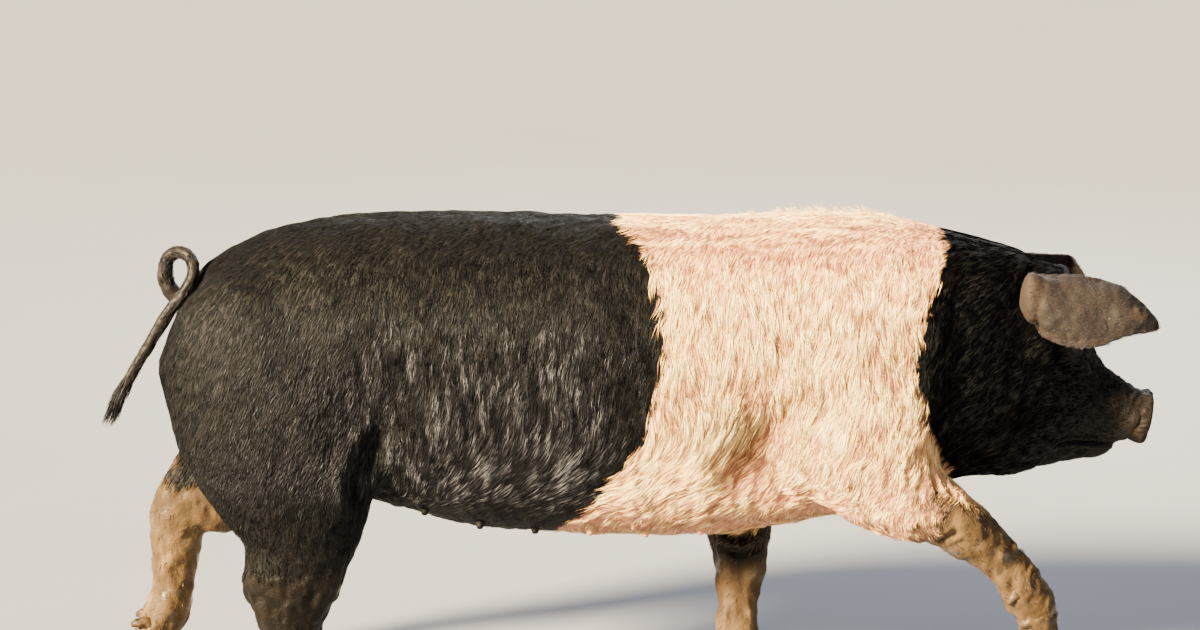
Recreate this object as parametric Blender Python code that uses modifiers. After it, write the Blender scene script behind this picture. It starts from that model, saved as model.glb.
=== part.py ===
# Saddleback pig, life size, walking, as a still museum model.
# Metres, +Z up, the pig faces +X, its right side is -Y, and the floor is z = 0.
import math

import bmesh
import bpy
import numpy as np
from mathutils import Matrix, Vector

# Driving sizes
GAP = 0.0003
ORIGIN_SHIFT = 0.008
HEAD_TILT = math.radians(21.5)
HEAD_PLACE = Vector((0.546, 0, 0.527))
NOSE_TILT = math.radians(11)
EYE_RADIUS = 0.0135
EYE_AHEAD = 0.089
EYE_HEIGHT = 0.078
EYE_DEPTH = 0.0085
LID_RISE = 0.0066
LID_RADIUS = 0.0024
EAR_THICK = 0.0055
LEFT_EAR_DROOP = 0.050
DROOP_FOLD = (0.662, 0.712)
LOBE_PLACE = (0.585, -0.112, 0.646)
LOBE_RADII = (0.018, 0.024, 0.038)
DISC_PLACE = (0.2455, 0, 0.0042)
DISC_HALF = (0.0435, 0.0405)
DISC_THICK = 0.017
NOSTRIL_SPREAD = 0.0165
NOSTRIL_RADII = (0.016, 0.0078, 0.0095)
CHEEK_PLACE = (0.030, 0.066, -0.070)
CHEEK_RADII = (0.095, 0.050, 0.080)
BROW_PLACE = (0.080, 0.054, 0.090)
BROW_RADII = (0.034, 0.014, 0.013)
LIP_RADIUS = 0.0056
LIP_LIFTS = (0.0052, -0.0058)
CLAW_TOP = 0.036
CLAW_SPREAD = 0.0172
SOLE_HEIGHT = 0.014

# Where the neck is parted: the place and lean of its rear cut, the head's cut ahead of
# it, and how far below that place the two cuts reach
NECK_PLACE = Vector((0.430, 0, 0.5))
NECK_LEAN = 0.12
HEAD_CUT_AHEAD = 0.105
NECK_CUT_BELOW = 0.165
HEAD_CUT_BELOW = 0.150

# Mesh sizes: the grid of the fused flesh, rounds of smoothing, triangles kept
BODY_VOXEL = 0.0065
HEAD_VOXEL = 0.0036
SMOOTHING = 10
SOFTENING = 50
BODY_TRIANGLES = 4900
HEAD_TRIANGLES = 2050
CREASE = math.radians(40)

# Colours: base colour and roughness
COATS = {
    "black_coat": ((0.022, 0.019, 0.018), 0.6),
    "white_coat": ((0.78, 0.58, 0.46), 0.7),
    "muddy_leg": ((0.23, 0.14, 0.07), 0.55),
    "ear_skin": ((0.14, 0.105, 0.095), 0.6),
    "nose_skin": ((0.07, 0.05, 0.045), 0.5),
    "claw_horn": ((0.16, 0.1, 0.06), 0.5),
    "eye": ((0.05, 0.025, 0.015), 0.1),
}

# Trunk and neck, one row a station: x, top z, bottom z, half width, sag.
# Sag moves the widest line down, as in a full belly.
TRUNK = [
    (-0.672, 0.625, 0.500, 0.040, 0.0),
    (-0.650, 0.668, 0.440, 0.080, 0.0),
    (-0.610, 0.698, 0.400, 0.118, 0.0),
    (-0.555, 0.724, 0.370, 0.148, 0.0),
    (-0.490, 0.741, 0.345, 0.168, 0.02),
    (-0.410, 0.751, 0.325, 0.176, 0.05),
    (-0.340, 0.755, 0.305, 0.180, 0.08),
    (-0.270, 0.756, 0.286, 0.186, 0.10),
    (-0.200, 0.755, 0.276, 0.191, 0.11),
    (-0.050, 0.751, 0.269, 0.195, 0.12),
    (0.075, 0.749, 0.267, 0.192, 0.11),
    (0.165, 0.750, 0.273, 0.185, 0.08),
    (0.250, 0.753, 0.285, 0.174, 0.04),
    (0.330, 0.753, 0.300, 0.165, 0.02),
    (0.400, 0.746, 0.320, 0.154, 0.02),
    (0.457, 0.732, 0.342, 0.143, 0.04),
    (0.517, 0.717, 0.355, 0.133, 0.08),
    (0.570, 0.703, 0.353, 0.118, 0.12),
    (0.615, 0.678, 0.374, 0.090, 0.14),
    (0.640, 0.630, 0.430, 0.050, 0.10),
]

# Skull, in the head's own axes: distance ahead, above, below, half width, sag
SKULL = [
    (-0.070, 0.140, 0.140, 0.110, 0.08),
    (-0.010, 0.165, 0.160, 0.122, 0.10),
    (0.040, 0.175, 0.158, 0.119, 0.12),
    (0.072, 0.151, 0.145, 0.110, 0.13),
    (0.100, 0.114, 0.128, 0.095, 0.13),
    (0.130, 0.075, 0.106, 0.074, 0.12),
    (0.160, 0.052, 0.080, 0.058, 0.10),
    (0.190, 0.039, 0.058, 0.048, 0.06),
    (0.215, 0.033, 0.046, 0.043, 0.04),
    (0.232, 0.034, 0.041, 0.041, 0.0),
]
# Lower jaw, in the head's axes: distance ahead, middle height, half height, half width
JAW = [
    (0.020, -0.105, 0.045, 0.080),
    (0.070, -0.103, 0.040, 0.066),
    (0.120, -0.092, 0.031, 0.050),
    (0.160, -0.078, 0.024, 0.038),
    (0.190, -0.067, 0.018, 0.030),
    (0.207, -0.061, 0.012, 0.022),
]
# The line of the mouth, in the head's axes: distance ahead, across, height
MOUTH = [
    (0.108, 0.064, -0.069),
    (0.120, 0.061, -0.071),
    (0.150, 0.049, -0.062),
    (0.180, 0.035, -0.054),
    (0.203, 0.021, -0.049),
    (0.213, 0.000, -0.047),
]

# Legs, one row a section: x, y, z, then front, back and side radius
HIND_RIGHT = [
    (-0.460, -0.055, 0.620, 0.080, 0.090, 0.050),
    (-0.505, -0.092, 0.565, 0.140, 0.174, 0.082),
    (-0.525, -0.108, 0.470, 0.150, 0.164, 0.084),
    (-0.512, -0.116, 0.375, 0.160, 0.126, 0.070),
    (-0.492, -0.118, 0.285, 0.092, 0.088, 0.054),
    (-0.502, -0.116, 0.203, 0.064, 0.082, 0.044),
    (-0.507, -0.112, 0.148, 0.046, 0.053, 0.038),
    (-0.500, -0.110, 0.098, 0.037, 0.040, 0.034),
    (-0.492, -0.110, 0.066, 0.037, 0.038, 0.036),
]
HIND_LEFT = [
    (-0.460, 0.055, 0.620, 0.080, 0.090, 0.050),
    (-0.510, 0.092, 0.560, 0.135, 0.174, 0.084),
    (-0.540, 0.106, 0.475, 0.130, 0.190, 0.088),
    (-0.570, 0.114, 0.395, 0.110, 0.184, 0.080),
    (-0.628, 0.117, 0.310, 0.080, 0.114, 0.058),
    (-0.700, 0.116, 0.262, 0.056, 0.055, 0.042),
    (-0.712, 0.113, 0.195, 0.038, 0.040, 0.036),
    (-0.716, 0.110, 0.140, 0.034, 0.036, 0.033),
    (-0.727, 0.107, 0.102, 0.037, 0.038, 0.035),
]
FORE_RIGHT = [
    (0.300, -0.085, 0.620, 0.060, 0.060, 0.040),
    (0.330, -0.112, 0.520, 0.098, 0.105, 0.057),
    (0.350, -0.122, 0.420, 0.106, 0.105, 0.065),
    (0.405, -0.126, 0.355, 0.062, 0.078, 0.056),
    (0.455, -0.124, 0.325, 0.052, 0.050, 0.048),
    (0.507, -0.120, 0.290, 0.038, 0.044, 0.043),
    (0.548, -0.114, 0.250, 0.034, 0.034, 0.034),
    (0.580, -0.110, 0.207, 0.034, 0.037, 0.036),
    (0.588, -0.109, 0.190, 0.034, 0.036, 0.036),
]
FORE_LEFT = [
    (0.250, 0.085, 0.620, 0.060, 0.060, 0.040),
    (0.242, 0.114, 0.520, 0.100, 0.104, 0.064),
    (0.202, 0.116, 0.410, 0.094, 0.096, 0.066),
    (0.168, 0.100, 0.300, 0.062, 0.070, 0.053),
    (0.168, 0.090, 0.235, 0.050, 0.056, 0.046),
    (0.170, 0.083, 0.185, 0.041, 0.043, 0.042),
    (0.167, 0.074, 0.125, 0.032, 0.034, 0.034),
    (0.164, 0.068, 0.085, 0.034, 0.036, 0.036),
    (0.170, 0.067, 0.062, 0.034, 0.034, 0.036),
]
# Each leg: its sections, the middle of the sole, the toe's turn down, and the section
# below which it is parted from the trunk
LEGS = {
    "hind_right": {
        "rows": HIND_RIGHT,
        "sole": (-0.466, -0.110, 0.0),
        "pitch": 0.0,
        "top_cut": 3.6,
    },
    "hind_left": {
        "rows": HIND_LEFT,
        "sole": (-0.7885, 0.105, 0.0268),
        "pitch": math.radians(58),
        "top_cut": 3.3,
        "on_tip": True,
    },
    "fore_right": {
        "rows": FORE_RIGHT,
        "sole": (0.598, -0.108, 0.139),
        "pitch": math.radians(10),
        "top_cut": 3.3,
    },
    "fore_left": {
        "rows": FORE_LEFT,
        "sole": (0.192, 0.066, 0.0),
        "pitch": 0.0,
        "top_cut": 3.6,
    },
}

# Right ear, one row a section from the root to the tip: upper edge, lower edge, bulge
EAR = [
    ((0.590, -0.045, 0.670), (0.592, -0.072, 0.612), 0.010),
    ((0.586, -0.066, 0.676), (0.588, -0.104, 0.606), 0.020),
    ((0.600, -0.076, 0.678), (0.597, -0.128, 0.594), 0.024),
    ((0.629, -0.078, 0.676), (0.632, -0.142, 0.581), 0.022),
    ((0.668, -0.084, 0.674), (0.674, -0.148, 0.583), 0.018),
    ((0.708, -0.094, 0.664), (0.714, -0.144, 0.596), 0.013),
    ((0.742, -0.104, 0.642), (0.746, -0.130, 0.601), 0.007),
    ((0.766, -0.110, 0.616), (0.768, -0.118, 0.602), 0.002),
]

# Tail, one row a section: x, y, z, radius
TAIL = [
    (-0.640, 0.000, 0.600, 0.016),
    (-0.675, 0.000, 0.618, 0.015),
    (-0.697, 0.002, 0.644, 0.013),
    (-0.698, 0.000, 0.678, 0.011),
    (-0.681, -0.010, 0.696, 0.0098),
    (-0.660, -0.024, 0.692, 0.0094),
    (-0.652, -0.040, 0.672, 0.0094),
    (-0.663, -0.050, 0.646, 0.0096),
    (-0.690, -0.052, 0.611, 0.0098),
    (-0.717, -0.050, 0.568, 0.0094),
    (-0.741, -0.048, 0.528, 0.0086),
    (-0.762, -0.046, 0.492, 0.0084),
    (-0.771, -0.044, 0.474, 0.0066),
    (-0.776, -0.043, 0.464, 0.0030),
]
# The switch at its end: locks in pairs, the first and last root's row, their length and width
SWITCH_LOCKS = 16
SWITCH_ROWS = (10.9, 12.6)
SWITCH_LENGTH = (0.024, 0.030)
SWITCH_WIDTH = 0.0062
SWITCH_LIFT = 0.09

# Teats: pairs, the places of the first and last along the belly, and their spread
TEAT_PAIRS = 6
TEAT_ROW = (-0.31, 0.10)
TEAT_SPREAD = 0.100


def clear_scene():
    for obj in list(bpy.data.objects):
        bpy.data.objects.remove(obj, do_unlink=True)


def coat(name):
    """The material of that name, made once."""
    if name in bpy.data.materials:
        return bpy.data.materials[name]
    colour, roughness = COATS[name]
    made = bpy.data.materials.new(name)
    made.use_nodes = True
    shader = made.node_tree.nodes["Principled BSDF"]
    shader.inputs["Base Color"].default_value = (*colour, 1)
    shader.inputs["Roughness"].default_value = roughness
    return made


def add_object(name, mesh, collection):
    obj = bpy.data.objects.new(name, mesh)
    collection.objects.link(obj)
    return obj


def evaluated_mesh(obj):
    """The object's mesh with its modifiers applied, as a new mesh in world space."""
    graph = bpy.context.evaluated_depsgraph_get()
    mesh = bpy.data.meshes.new_from_object(obj.evaluated_get(graph), depsgraph=graph)
    mesh.transform(obj.matrix_world)
    return mesh


def apply_modifiers(obj):
    mesh = evaluated_mesh(obj)
    obj.modifiers.clear()
    obj.matrix_world = Matrix.Identity(4)
    obj.data = mesh


def copy_of(obj, name):
    return add_object(name, obj.data.copy(), obj.users_collection[0])


def remove(*objects):
    for obj in objects:
        bpy.data.objects.remove(obj, do_unlink=True)


def smooth_rows(rows, per_span):
    """Rows along a smooth curve through the given rows, per_span rows to each span."""
    table = np.array(rows, float)
    padded = np.vstack([2 * table[0] - table[1], table, 2 * table[-1] - table[-2]])
    out = []
    for i in range(1, len(table)):
        p0, p1, p2, p3 = padded[i - 1 : i + 3]
        for t in np.arange(per_span) / per_span:
            a, b = 2 * p0 - 5 * p1 + 4 * p2 - p3, 3 * p1 - p0 - 3 * p2 + p3
            out.append(0.5 * (2 * p1 + (p2 - p0) * t + a * t * t + b * t**3))
    out.append(table[-1])
    return np.array(out)


def section(centre, side, up, half, above, below, power=2.0, sag=0.0, points=24):
    """One closed ring: half along side, above and below along up, squarer with power."""
    ring = []
    for k in range(points):
        angle = 2 * math.pi * k / points
        c, s = math.cos(angle), math.sin(angle)
        across = math.copysign(abs(c) ** (2 / power), c) * half * (1 - sag * s)
        rise = math.copysign(abs(s) ** (2 / power), s) * (above if s > 0 else below)
        ring.append(centre + side * across + up * rise)
    return ring


def loft(name, rings, collection, back_from=None):
    """A closed mesh through the rings, capped at both ends.

    Where back_from is given, the ring's points from there on are the back of a thin
    leaf, and the triangles on both its faces are split alike.
    """
    bm = bmesh.new()
    loops = [[bm.verts.new(p) for p in ring] for ring in rings]
    count = len(rings[0])
    for a, b in zip(loops, loops[1:]):
        for k in range(count):
            n = (k + 1) % count
            if back_from is None:
                bm.faces.new((a[k], a[n], b[n], b[k]))
            elif k < back_from:
                bm.faces.new((a[k], a[n], b[n]))
                bm.faces.new((a[k], b[n], b[k]))
            else:
                bm.faces.new((a[k], a[n], b[k]))
                bm.faces.new((a[n], b[n], b[k]))
    bm.faces.new(loops[0])
    bm.faces.new(loops[-1])
    bmesh.ops.recalc_face_normals(bm, faces=bm.faces)
    mesh = bpy.data.meshes.new(name)
    bm.to_mesh(mesh)
    bm.free()
    return add_object(name, mesh, collection)


def tube(name, rows, resolution, collection):
    """A round tapered tube through rows of place and radius, as a closed mesh."""
    curve = bpy.data.curves.new(name, "CURVE")
    curve.dimensions = "3D"
    curve.bevel_depth = 1
    curve.bevel_resolution = resolution
    curve.use_fill_caps = True
    spline = curve.splines.new("POLY")
    spline.points.add(len(rows) - 1)
    for point, (x, y, z, radius) in zip(spline.points, rows):
        point.co = (x, y, z, 1)
        point.radius = radius
    guide = add_object(name + "_guide", curve, collection)
    mesh = evaluated_mesh(guide)
    remove(guide)
    bm = bmesh.new()
    bm.from_mesh(mesh)
    bmesh.ops.remove_doubles(bm, verts=bm.verts, dist=0.00005)
    bmesh.ops.recalc_face_normals(bm, faces=bm.faces)
    bm.to_mesh(mesh)
    bm.free()
    mesh.materials.clear()
    return add_object(name, mesh, collection)


def ball(name, centre, radii, tilt, collection, segments=20, rings=12):
    bm = bmesh.new()
    place = (
        Matrix.Translation(centre)
        @ Matrix.Rotation(tilt, 4, "Y")
        @ Matrix.Diagonal((*radii, 1))
    )
    bmesh.ops.create_uvsphere(
        bm, u_segments=segments, v_segments=rings, radius=1, matrix=place
    )
    mesh = bpy.data.meshes.new(name)
    bm.to_mesh(mesh)
    bm.free()
    return add_object(name, mesh, collection)


def block(name, low, high, origin, forward, up, collection):
    """A box from low to high in axes with the given origin, forward and up."""
    side = up.cross(forward)
    turn = Matrix((forward, side, up)).transposed().to_4x4()
    middle = [(a + b) / 2 for a, b in zip(low, high)]
    sizes = [b - a for a, b in zip(low, high)]
    place = Matrix.Translation(origin) @ turn @ Matrix.Translation(middle)
    bm = bmesh.new()
    bmesh.ops.create_cube(bm, size=1, matrix=place @ Matrix.Diagonal((*sizes, 1)))
    mesh = bpy.data.meshes.new(name)
    bm.to_mesh(mesh)
    bm.free()
    return add_object(name, mesh, collection)


def combine(obj, other, operation, solver="EXACT"):
    """Cuts or joins other into obj, and keeps the largest closed surface."""
    boolean = obj.modifiers.new("Boolean", "BOOLEAN")
    boolean.operation = operation
    boolean.object = other
    boolean.solver = solver
    apply_modifiers(obj)
    keep_largest(obj)


def keep_largest(obj):
    bm = bmesh.new()
    bm.from_mesh(obj.data)
    bmesh.ops.triangulate(bm, faces=bm.faces)
    waiting = set(bm.faces)
    parts = []
    while waiting:
        stack = [waiting.pop()]
        part = []
        while stack:
            face = stack.pop()
            part.append(face)
            for edge in face.edges:
                for near in edge.link_faces:
                    if near in waiting:
                        waiting.discard(near)
                        stack.append(near)
        parts.append(part)
    if len(parts) > 1:
        volumes = []
        for part in parts:
            corners = [[v.co for v in face.verts] for face in part]
            volumes.append(abs(sum(a.dot(b.cross(c)) for a, b, c in corners)))
        largest = parts[int(np.argmax(volumes))]
        spare = [face for part in parts if part is not largest for face in part]
        bmesh.ops.delete(bm, geom=spare, context="FACES")
    bm.to_mesh(obj.data)
    bm.free()


def grown(obj, distance):
    """A copy of obj moved out along its normals."""
    copy = copy_of(obj, obj.name + "_grown")
    displace = copy.modifiers.new("Displace", "DISPLACE")
    displace.strength = distance
    displace.mid_level = 0
    apply_modifiers(copy)
    return copy


def part_off(whole, name, cutter, cutter_grown):
    """The piece of whole inside cutter as a new object, with a thin gap to the rest."""
    piece = copy_of(whole, name)
    combine(piece, cutter, "INTERSECT")
    combine(whole, cutter_grown, "DIFFERENCE")
    return piece


def part_box(whole, name, low, high, origin, forward, up, collection):
    """Parts off what lies in a box from low to high in axes of its own."""
    wide_low = [a - GAP for a in low]
    wide_high = [b + GAP for b in high]
    cutter = block("cutter", low, high, origin, forward, up, collection)
    wide = block("cutter_wide", wide_low, wide_high, origin, forward, up, collection)
    piece = part_off(whole, name, cutter, wide)
    remove(cutter, wide)
    return piece


def decimate(obj, triangles):
    bm = bmesh.new()
    bm.from_mesh(obj.data)
    bmesh.ops.triangulate(bm, faces=bm.faces)
    bm.to_mesh(obj.data)
    bm.free()
    reduce = obj.modifiers.new("Decimate", "DECIMATE")
    reduce.ratio = min(1.0, triangles / len(obj.data.polygons))
    apply_modifiers(obj)


# Head


def head_axes():
    forward = Vector((math.cos(HEAD_TILT), 0, -math.sin(HEAD_TILT)))
    return forward, Vector((math.sin(HEAD_TILT), 0, math.cos(HEAD_TILT)))


def head_point(distance, across, height):
    """A place in the head's own axes, in world space."""
    forward, up = head_axes()
    return HEAD_PLACE + forward * distance + up * height + Vector((0, across, 0))


def head_lofts(collection):
    side = Vector((0, 1, 0))
    up = head_axes()[1]
    rings = [
        section(head_point(d, 0, 0), side, up, half, above, below, 2.15, sag)
        for d, above, below, half, sag in smooth_rows(SKULL, 3)
    ]
    made = [loft("skull", rings, collection)]
    rings = [
        section(head_point(d, 0, height), side, up, half, rise, rise, 2.3)
        for d, height, rise, half in smooth_rows(JAW, 3)
    ]
    made.append(loft("jaw", rings, collection))
    for turn in (-1, 1):
        for name, place, radii in (
            ("cheek", CHEEK_PLACE, CHEEK_RADII),
            ("brow", BROW_PLACE, BROW_RADII),
        ):
            distance, across, height = place
            spot = head_point(distance, turn * across, height)
            made.append(ball(name, spot, radii, HEAD_TILT, collection))
    for lift in LIP_LIFTS:
        half = [(d, a, h + lift, LIP_RADIUS) for d, a, h in MOUTH]
        whole = half + [(d, -a, h, r) for d, a, h, r in reversed(half[:-1])]
        rows = [(*head_point(d, a, h), r) for d, a, h, r in smooth_rows(whole, 2)]
        made.append(tube("lip", rows, 1, collection))
    return made


# Legs


def foot_axes(leg):
    """The foot's own axes: origin, forward and up, turned down at the toe by pitch."""
    pitch = leg["pitch"]
    forward = Vector((math.cos(pitch), 0, -math.sin(pitch)))
    return Vector(leg["sole"]), forward, Vector((math.sin(pitch), 0, math.cos(pitch)))


def foot_point(leg, ahead, across, height):
    origin, forward, up = foot_axes(leg)
    return origin + forward * ahead + up * height + Vector((0, across, 0))


def leg_loft(name, leg, collection):
    """A leg from inside the trunk down into the claws, its sections square to its path."""
    rows = list(leg["rows"])
    rows.append((*foot_point(leg, -0.006, 0, CLAW_TOP), 0.034, 0.030, 0.035))
    rows.append((*foot_point(leg, -0.004, 0, SOLE_HEIGHT), 0.034, 0.028, 0.034))
    dense = smooth_rows(rows, 4)
    rings = []
    for i, row in enumerate(dense):
        ahead = Vector(dense[min(i + 1, len(dense) - 1)][:3])
        down = (ahead - Vector(dense[max(i - 1, 0)][:3])).normalized()
        front = down.cross(Vector((0, 1, 0))).normalized()
        side = front.cross(down).normalized()
        rings.append(section(Vector(row[:3]), side, front, row[5], row[3], row[4], 2.1))
    return loft(name, rings, collection)


def trunk_loft(collection):
    side, up = Vector((0, 1, 0)), Vector((0, 0, 1))
    rings = []
    for x, top, bottom, half, sag in smooth_rows(TRUNK, 3):
        rise = 0.5 * (top - bottom)
        middle = Vector((x, 0, bottom + rise))
        rings.append(section(middle, side, up, half, rise, rise, 2.25, sag, 32))
    return loft("trunk", rings, collection)


def fused(name, pieces, voxel, collection):
    """One smooth closed mesh out of overlapping pieces, which are removed."""
    bm = bmesh.new()
    for piece in pieces:
        bm.from_mesh(piece.data)
    remove(*pieces)
    mesh = bpy.data.meshes.new(name)
    bm.to_mesh(mesh)
    bm.free()
    obj = add_object(name, mesh, collection)
    remesh = obj.modifiers.new("Remesh", "REMESH")
    remesh.mode = "VOXEL"
    remesh.voxel_size = voxel
    smooth = obj.modifiers.new("Smooth", "SMOOTH")
    smooth.factor = 0.5
    smooth.iterations = round(SMOOTHING * (BODY_VOXEL / voxel) ** 2)
    apply_modifiers(obj)
    soften(obj, round(SOFTENING * (BODY_VOXEL / voxel) ** 2))
    keep_largest(obj)
    return obj


def soften(obj, rounds):
    """Blends shoulders and hams into the trunk, and leaves the head and lower legs."""
    group = obj.vertex_groups.new(name="blend")
    for vertex in obj.data.vertices:
        x, y, z = vertex.co
        above = (z - 0.36) / 0.09
        behind = (0.66 - x) / 0.14
        group.add([vertex.index], max(0.0, min(1.0, above, behind)), "REPLACE")
    smooth = obj.modifiers.new("Blend", "SMOOTH")
    smooth.vertex_group = "blend"
    smooth.factor = 0.5
    smooth.iterations = rounds
    apply_modifiers(obj)
    obj.vertex_groups.clear()


# Ears, tail, eyes, claws and the rest


def ear_loft(name, turn, droop, collection):
    """A thin cupped leaf from the rows of edges, mirrored by turn, let down by droop over
    the fold, and the round lobe behind its root."""
    rings = []
    fold_from, fold_to = DROOP_FOLD
    rows = [(*upper, *lower, bulge) for upper, lower, bulge in EAR]
    for row in smooth_rows(rows, 2):
        upper, lower, bulge = Vector(row[:3]), Vector(row[3:6]), row[6]
        across = lower - upper
        width = across.length
        along = Vector((1, 0, -0.15)).normalized()
        out = along.cross(across).normalized()
        if out.y > 0:
            out = -out
        outer, inner = [], []
        for k in range(9):
            t = k / 8
            arch = bulge * 4 * t * (1 - t)
            thick = min(EAR_THICK, 0.35 * width) * (0.35 + 0.65 * math.sin(math.pi * t))
            spot = upper + across * t + out * arch
            outer.append(spot + out * thick / 2)
            inner.append(spot - out * thick / 2)
        lowered = []
        for spot in outer + inner[::-1]:
            share = min(1.0, max(0.0, (spot.x - fold_from) / (fold_to - fold_from)))
            fall = droop * share * share * (3 - 2 * share)
            lowered.append(Vector((spot.x, spot.y * turn, spot.z - fall)))
        rings.append(lowered)
    ear = loft(name, rings, collection, back_from=9)
    x, y, z = LOBE_PLACE
    lobe = ball("lobe", (x, y * turn, z), LOBE_RADII, 0, collection, 14, 9)
    combine(ear, lobe, "UNION", "MANIFOLD")
    remove(lobe)
    return ear


def lock(root, out, lie, length, width):
    """The rings of a flat tapered lock that starts along out and bends to lie."""
    rings = []
    side = lie.cross(out).normalized()
    for t, wide in ((-0.12, 0.7), (0.2, 1.0), (0.6, 0.62), (1.0, 0.12)):
        rise = SWITCH_LIFT * math.sin(min(1.0, 1.3 * max(t, 0.0)) * math.pi / 2)
        spot = root + out * length * rise
        spot = spot + lie * length * t
        half = side * width * wide / 2
        thick = out * width * wide * 0.2
        rings.append([spot - half, spot - thick, spot + half, spot + thick])
    return rings


def tail_switch(tail, collection):
    """Flat tapered locks round the tail's end, fused to it."""
    rows = smooth_rows(TAIL, 10)
    pieces = []
    for k in range(SWITCH_LOCKS):
        share = k / (SWITCH_LOCKS - 1)
        row = SWITCH_ROWS[0] + (SWITCH_ROWS[1] - SWITCH_ROWS[0]) * share
        x, y, z, radius = rows[round(10 * row)]
        lie = (Vector(rows[round(10 * row) + 4][:3]) - Vector((x, y, z))).normalized()
        angle = 2.4 * k
        ahead = Vector((0, 1, 0)).cross(lie).normalized()
        out = ahead * math.cos(angle) + lie.cross(ahead) * math.sin(angle)
        root = Vector((x, y, z)) + out * radius * 0.55
        length = SWITCH_LENGTH[k % 2] * (1.1 - 0.25 * share)
        bend = (lie + Vector((0, 0, -0.12))).normalized()
        pieces.append(loft("lock", lock(root, out, bend, length, SWITCH_WIDTH), collection))
    for piece in pieces:
        combine(tail, piece, "UNION")
        remove(piece)


def claw_ring(leg, turn, height, front, back, half):
    """One level of a claw: pointed at the toe, flat toward the other claw."""
    ring = []
    for k in range(16):
        angle = 2 * math.pi * k / 16
        c, s = math.cos(angle), math.sin(angle)
        ahead = c * (front if c > 0 else back)
        inward = s * half * (1 - 0.38 * max(0, c) ** 2)
        if s * turn < 0:
            inward = max(-half * 0.86, min(half * 0.86, inward * 1.15))
        ring.append(foot_point(leg, ahead, turn * CLAW_SPREAD + inward, height))
    return ring


def claw(name, leg, turn, collection):
    levels = [
        (0.000, 0.034, 0.021, 0.0138),
        (0.002, 0.036, 0.023, 0.0150),
        (0.014, 0.034, 0.024, 0.0158),
        (0.026, 0.030, 0.025, 0.0156),
        (CLAW_TOP - GAP, 0.025, 0.025, 0.0148),
    ]
    return loft(name, [claw_ring(leg, turn, *level) for level in levels], collection)


def dewclaw(name, leg, turn, collection):
    levels = [(-0.020, 0.020, 0.070, 0.0085), (-0.036, 0.024, 0.062, 0.0090)]
    levels += [(-0.044, 0.026, 0.050, 0.0075), (-0.047, 0.027, 0.039, 0.0035)]
    rows = [(*foot_point(leg, a, turn * c, h), r) for a, c, h, r in levels]
    return tube(name, smooth_rows(rows, 2), 1, collection)


def nose_axes():
    """The middle of the nose's flat face, and axes out of it and up it."""
    forward = Vector((math.cos(NOSE_TILT), 0, -math.sin(NOSE_TILT)))
    up = Vector((math.sin(NOSE_TILT), 0, math.cos(NOSE_TILT)))
    return head_point(*DISC_PLACE), forward, up


def nose_disc(collection):
    """The flat round end of the nose, with its rolled rim."""
    centre, forward, up = nose_axes()
    levels = [(-DISC_THICK, 0.90), (-0.0130, 0.985), (-0.0080, 1.02), (-0.0030, 1.0)]
    levels += [(0.0, 0.93), (-0.0012, 0.80), (-0.0014, 0.40)]
    rings = []
    for ahead, scale in levels:
        spot = centre + forward * ahead
        half, rise = DISC_HALF[0] * scale, DISC_HALF[1] * scale
        rings.append(section(spot, Vector((0, 1, 0)), up, half, rise, rise, 2.4, 0.06, 22))
    disc = loft("snout", rings, collection)
    for turn in (-1, 1):
        spot = centre + up * 0.002 + Vector((0, turn * NOSTRIL_SPREAD, 0))
        hole = ball("nostril", spot, NOSTRIL_RADII, NOSE_TILT, collection, 12, 8)
        combine(disc, hole, "DIFFERENCE")
        remove(hole)
    return disc


def eye_axes(head, turn):
    """The eyeball's centre, and axes out of the head, along it and up the face."""
    start = head_point(EYE_AHEAD, turn * 0.3, EYE_HEIGHT)
    _, spot, normal, _ = head.ray_cast(start, Vector((0, -turn, 0)))
    out = (normal + Vector((0, turn * 0.6, 0))).normalized()
    forward = head_axes()[0]
    along = (forward - out * forward.dot(out)).normalized()
    up = out.cross(along).normalized()
    if up.z < 0:
        up = -up
    return spot - out * EYE_DEPTH, out, along, up


def eyelids(head, places, collection):
    """Upper and lower lids joined to the head round each eye, and the socket cut."""
    for centre, out, along, up in places:
        for lift in (1, -1):
            rows = []
            for k in range(9):
                t = math.pi * k / 8
                spread = EYE_RADIUS * 0.98 * math.cos(t)
                rise = lift * (LID_RISE * math.sin(t) + 0.0004)
                depth = math.sqrt(max(0.0, EYE_RADIUS**2 - rise**2 - spread**2))
                spot = centre - along * spread + up * rise + out * (depth + 0.0012)
                rows.append((*spot, LID_RADIUS * (1 + 0.6 * math.sin(t))))
            lid = tube("lid", rows, 1, collection)
            combine(head, lid, "UNION")
            remove(lid)
        radius = EYE_RADIUS + GAP
        socket = ball("socket", centre, (radius,) * 3, 0, collection, 16, 10)
        combine(head, socket, "DIFFERENCE")
        remove(socket)


def add_teats(torso, collection):
    """Two rows of teats along the belly, each leaning out as the belly curves."""
    for k in range(TEAT_PAIRS):
        x = TEAT_ROW[0] + (TEAT_ROW[1] - TEAT_ROW[0]) * k / (TEAT_PAIRS - 1)
        for turn in (-1, 1):
            start = Vector((x, turn * TEAT_SPREAD, 0.5))
            hit, spot, normal, _ = torso.ray_cast(start, Vector((0, 0, -1)))
            out = Vector((0, normal.y, normal.z)).normalized()
            rows = []
            for reach, radius in ((-0.012, 0.0070), (0.004, 0.0065), (0.009, 0.0055), (0.012, 0.0030)):
                rows.append((*(spot + out * reach), radius))
            teat = tube("teat", rows, 1, collection)
            combine(torso, teat, "UNION")
            remove(teat)


def cut_ground(obj, collection):
    """Cuts away what lies below the floor, which leaves a small flat."""
    x_axis, z_axis = Vector((1, 0, 0)), Vector((0, 0, 1))
    below = block(
        "below", (-1.5, -1, -0.2), (1.5, 1, 0), Vector(), x_axis, z_axis, collection
    )
    combine(obj, below, "DIFFERENCE")
    remove(below)


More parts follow.
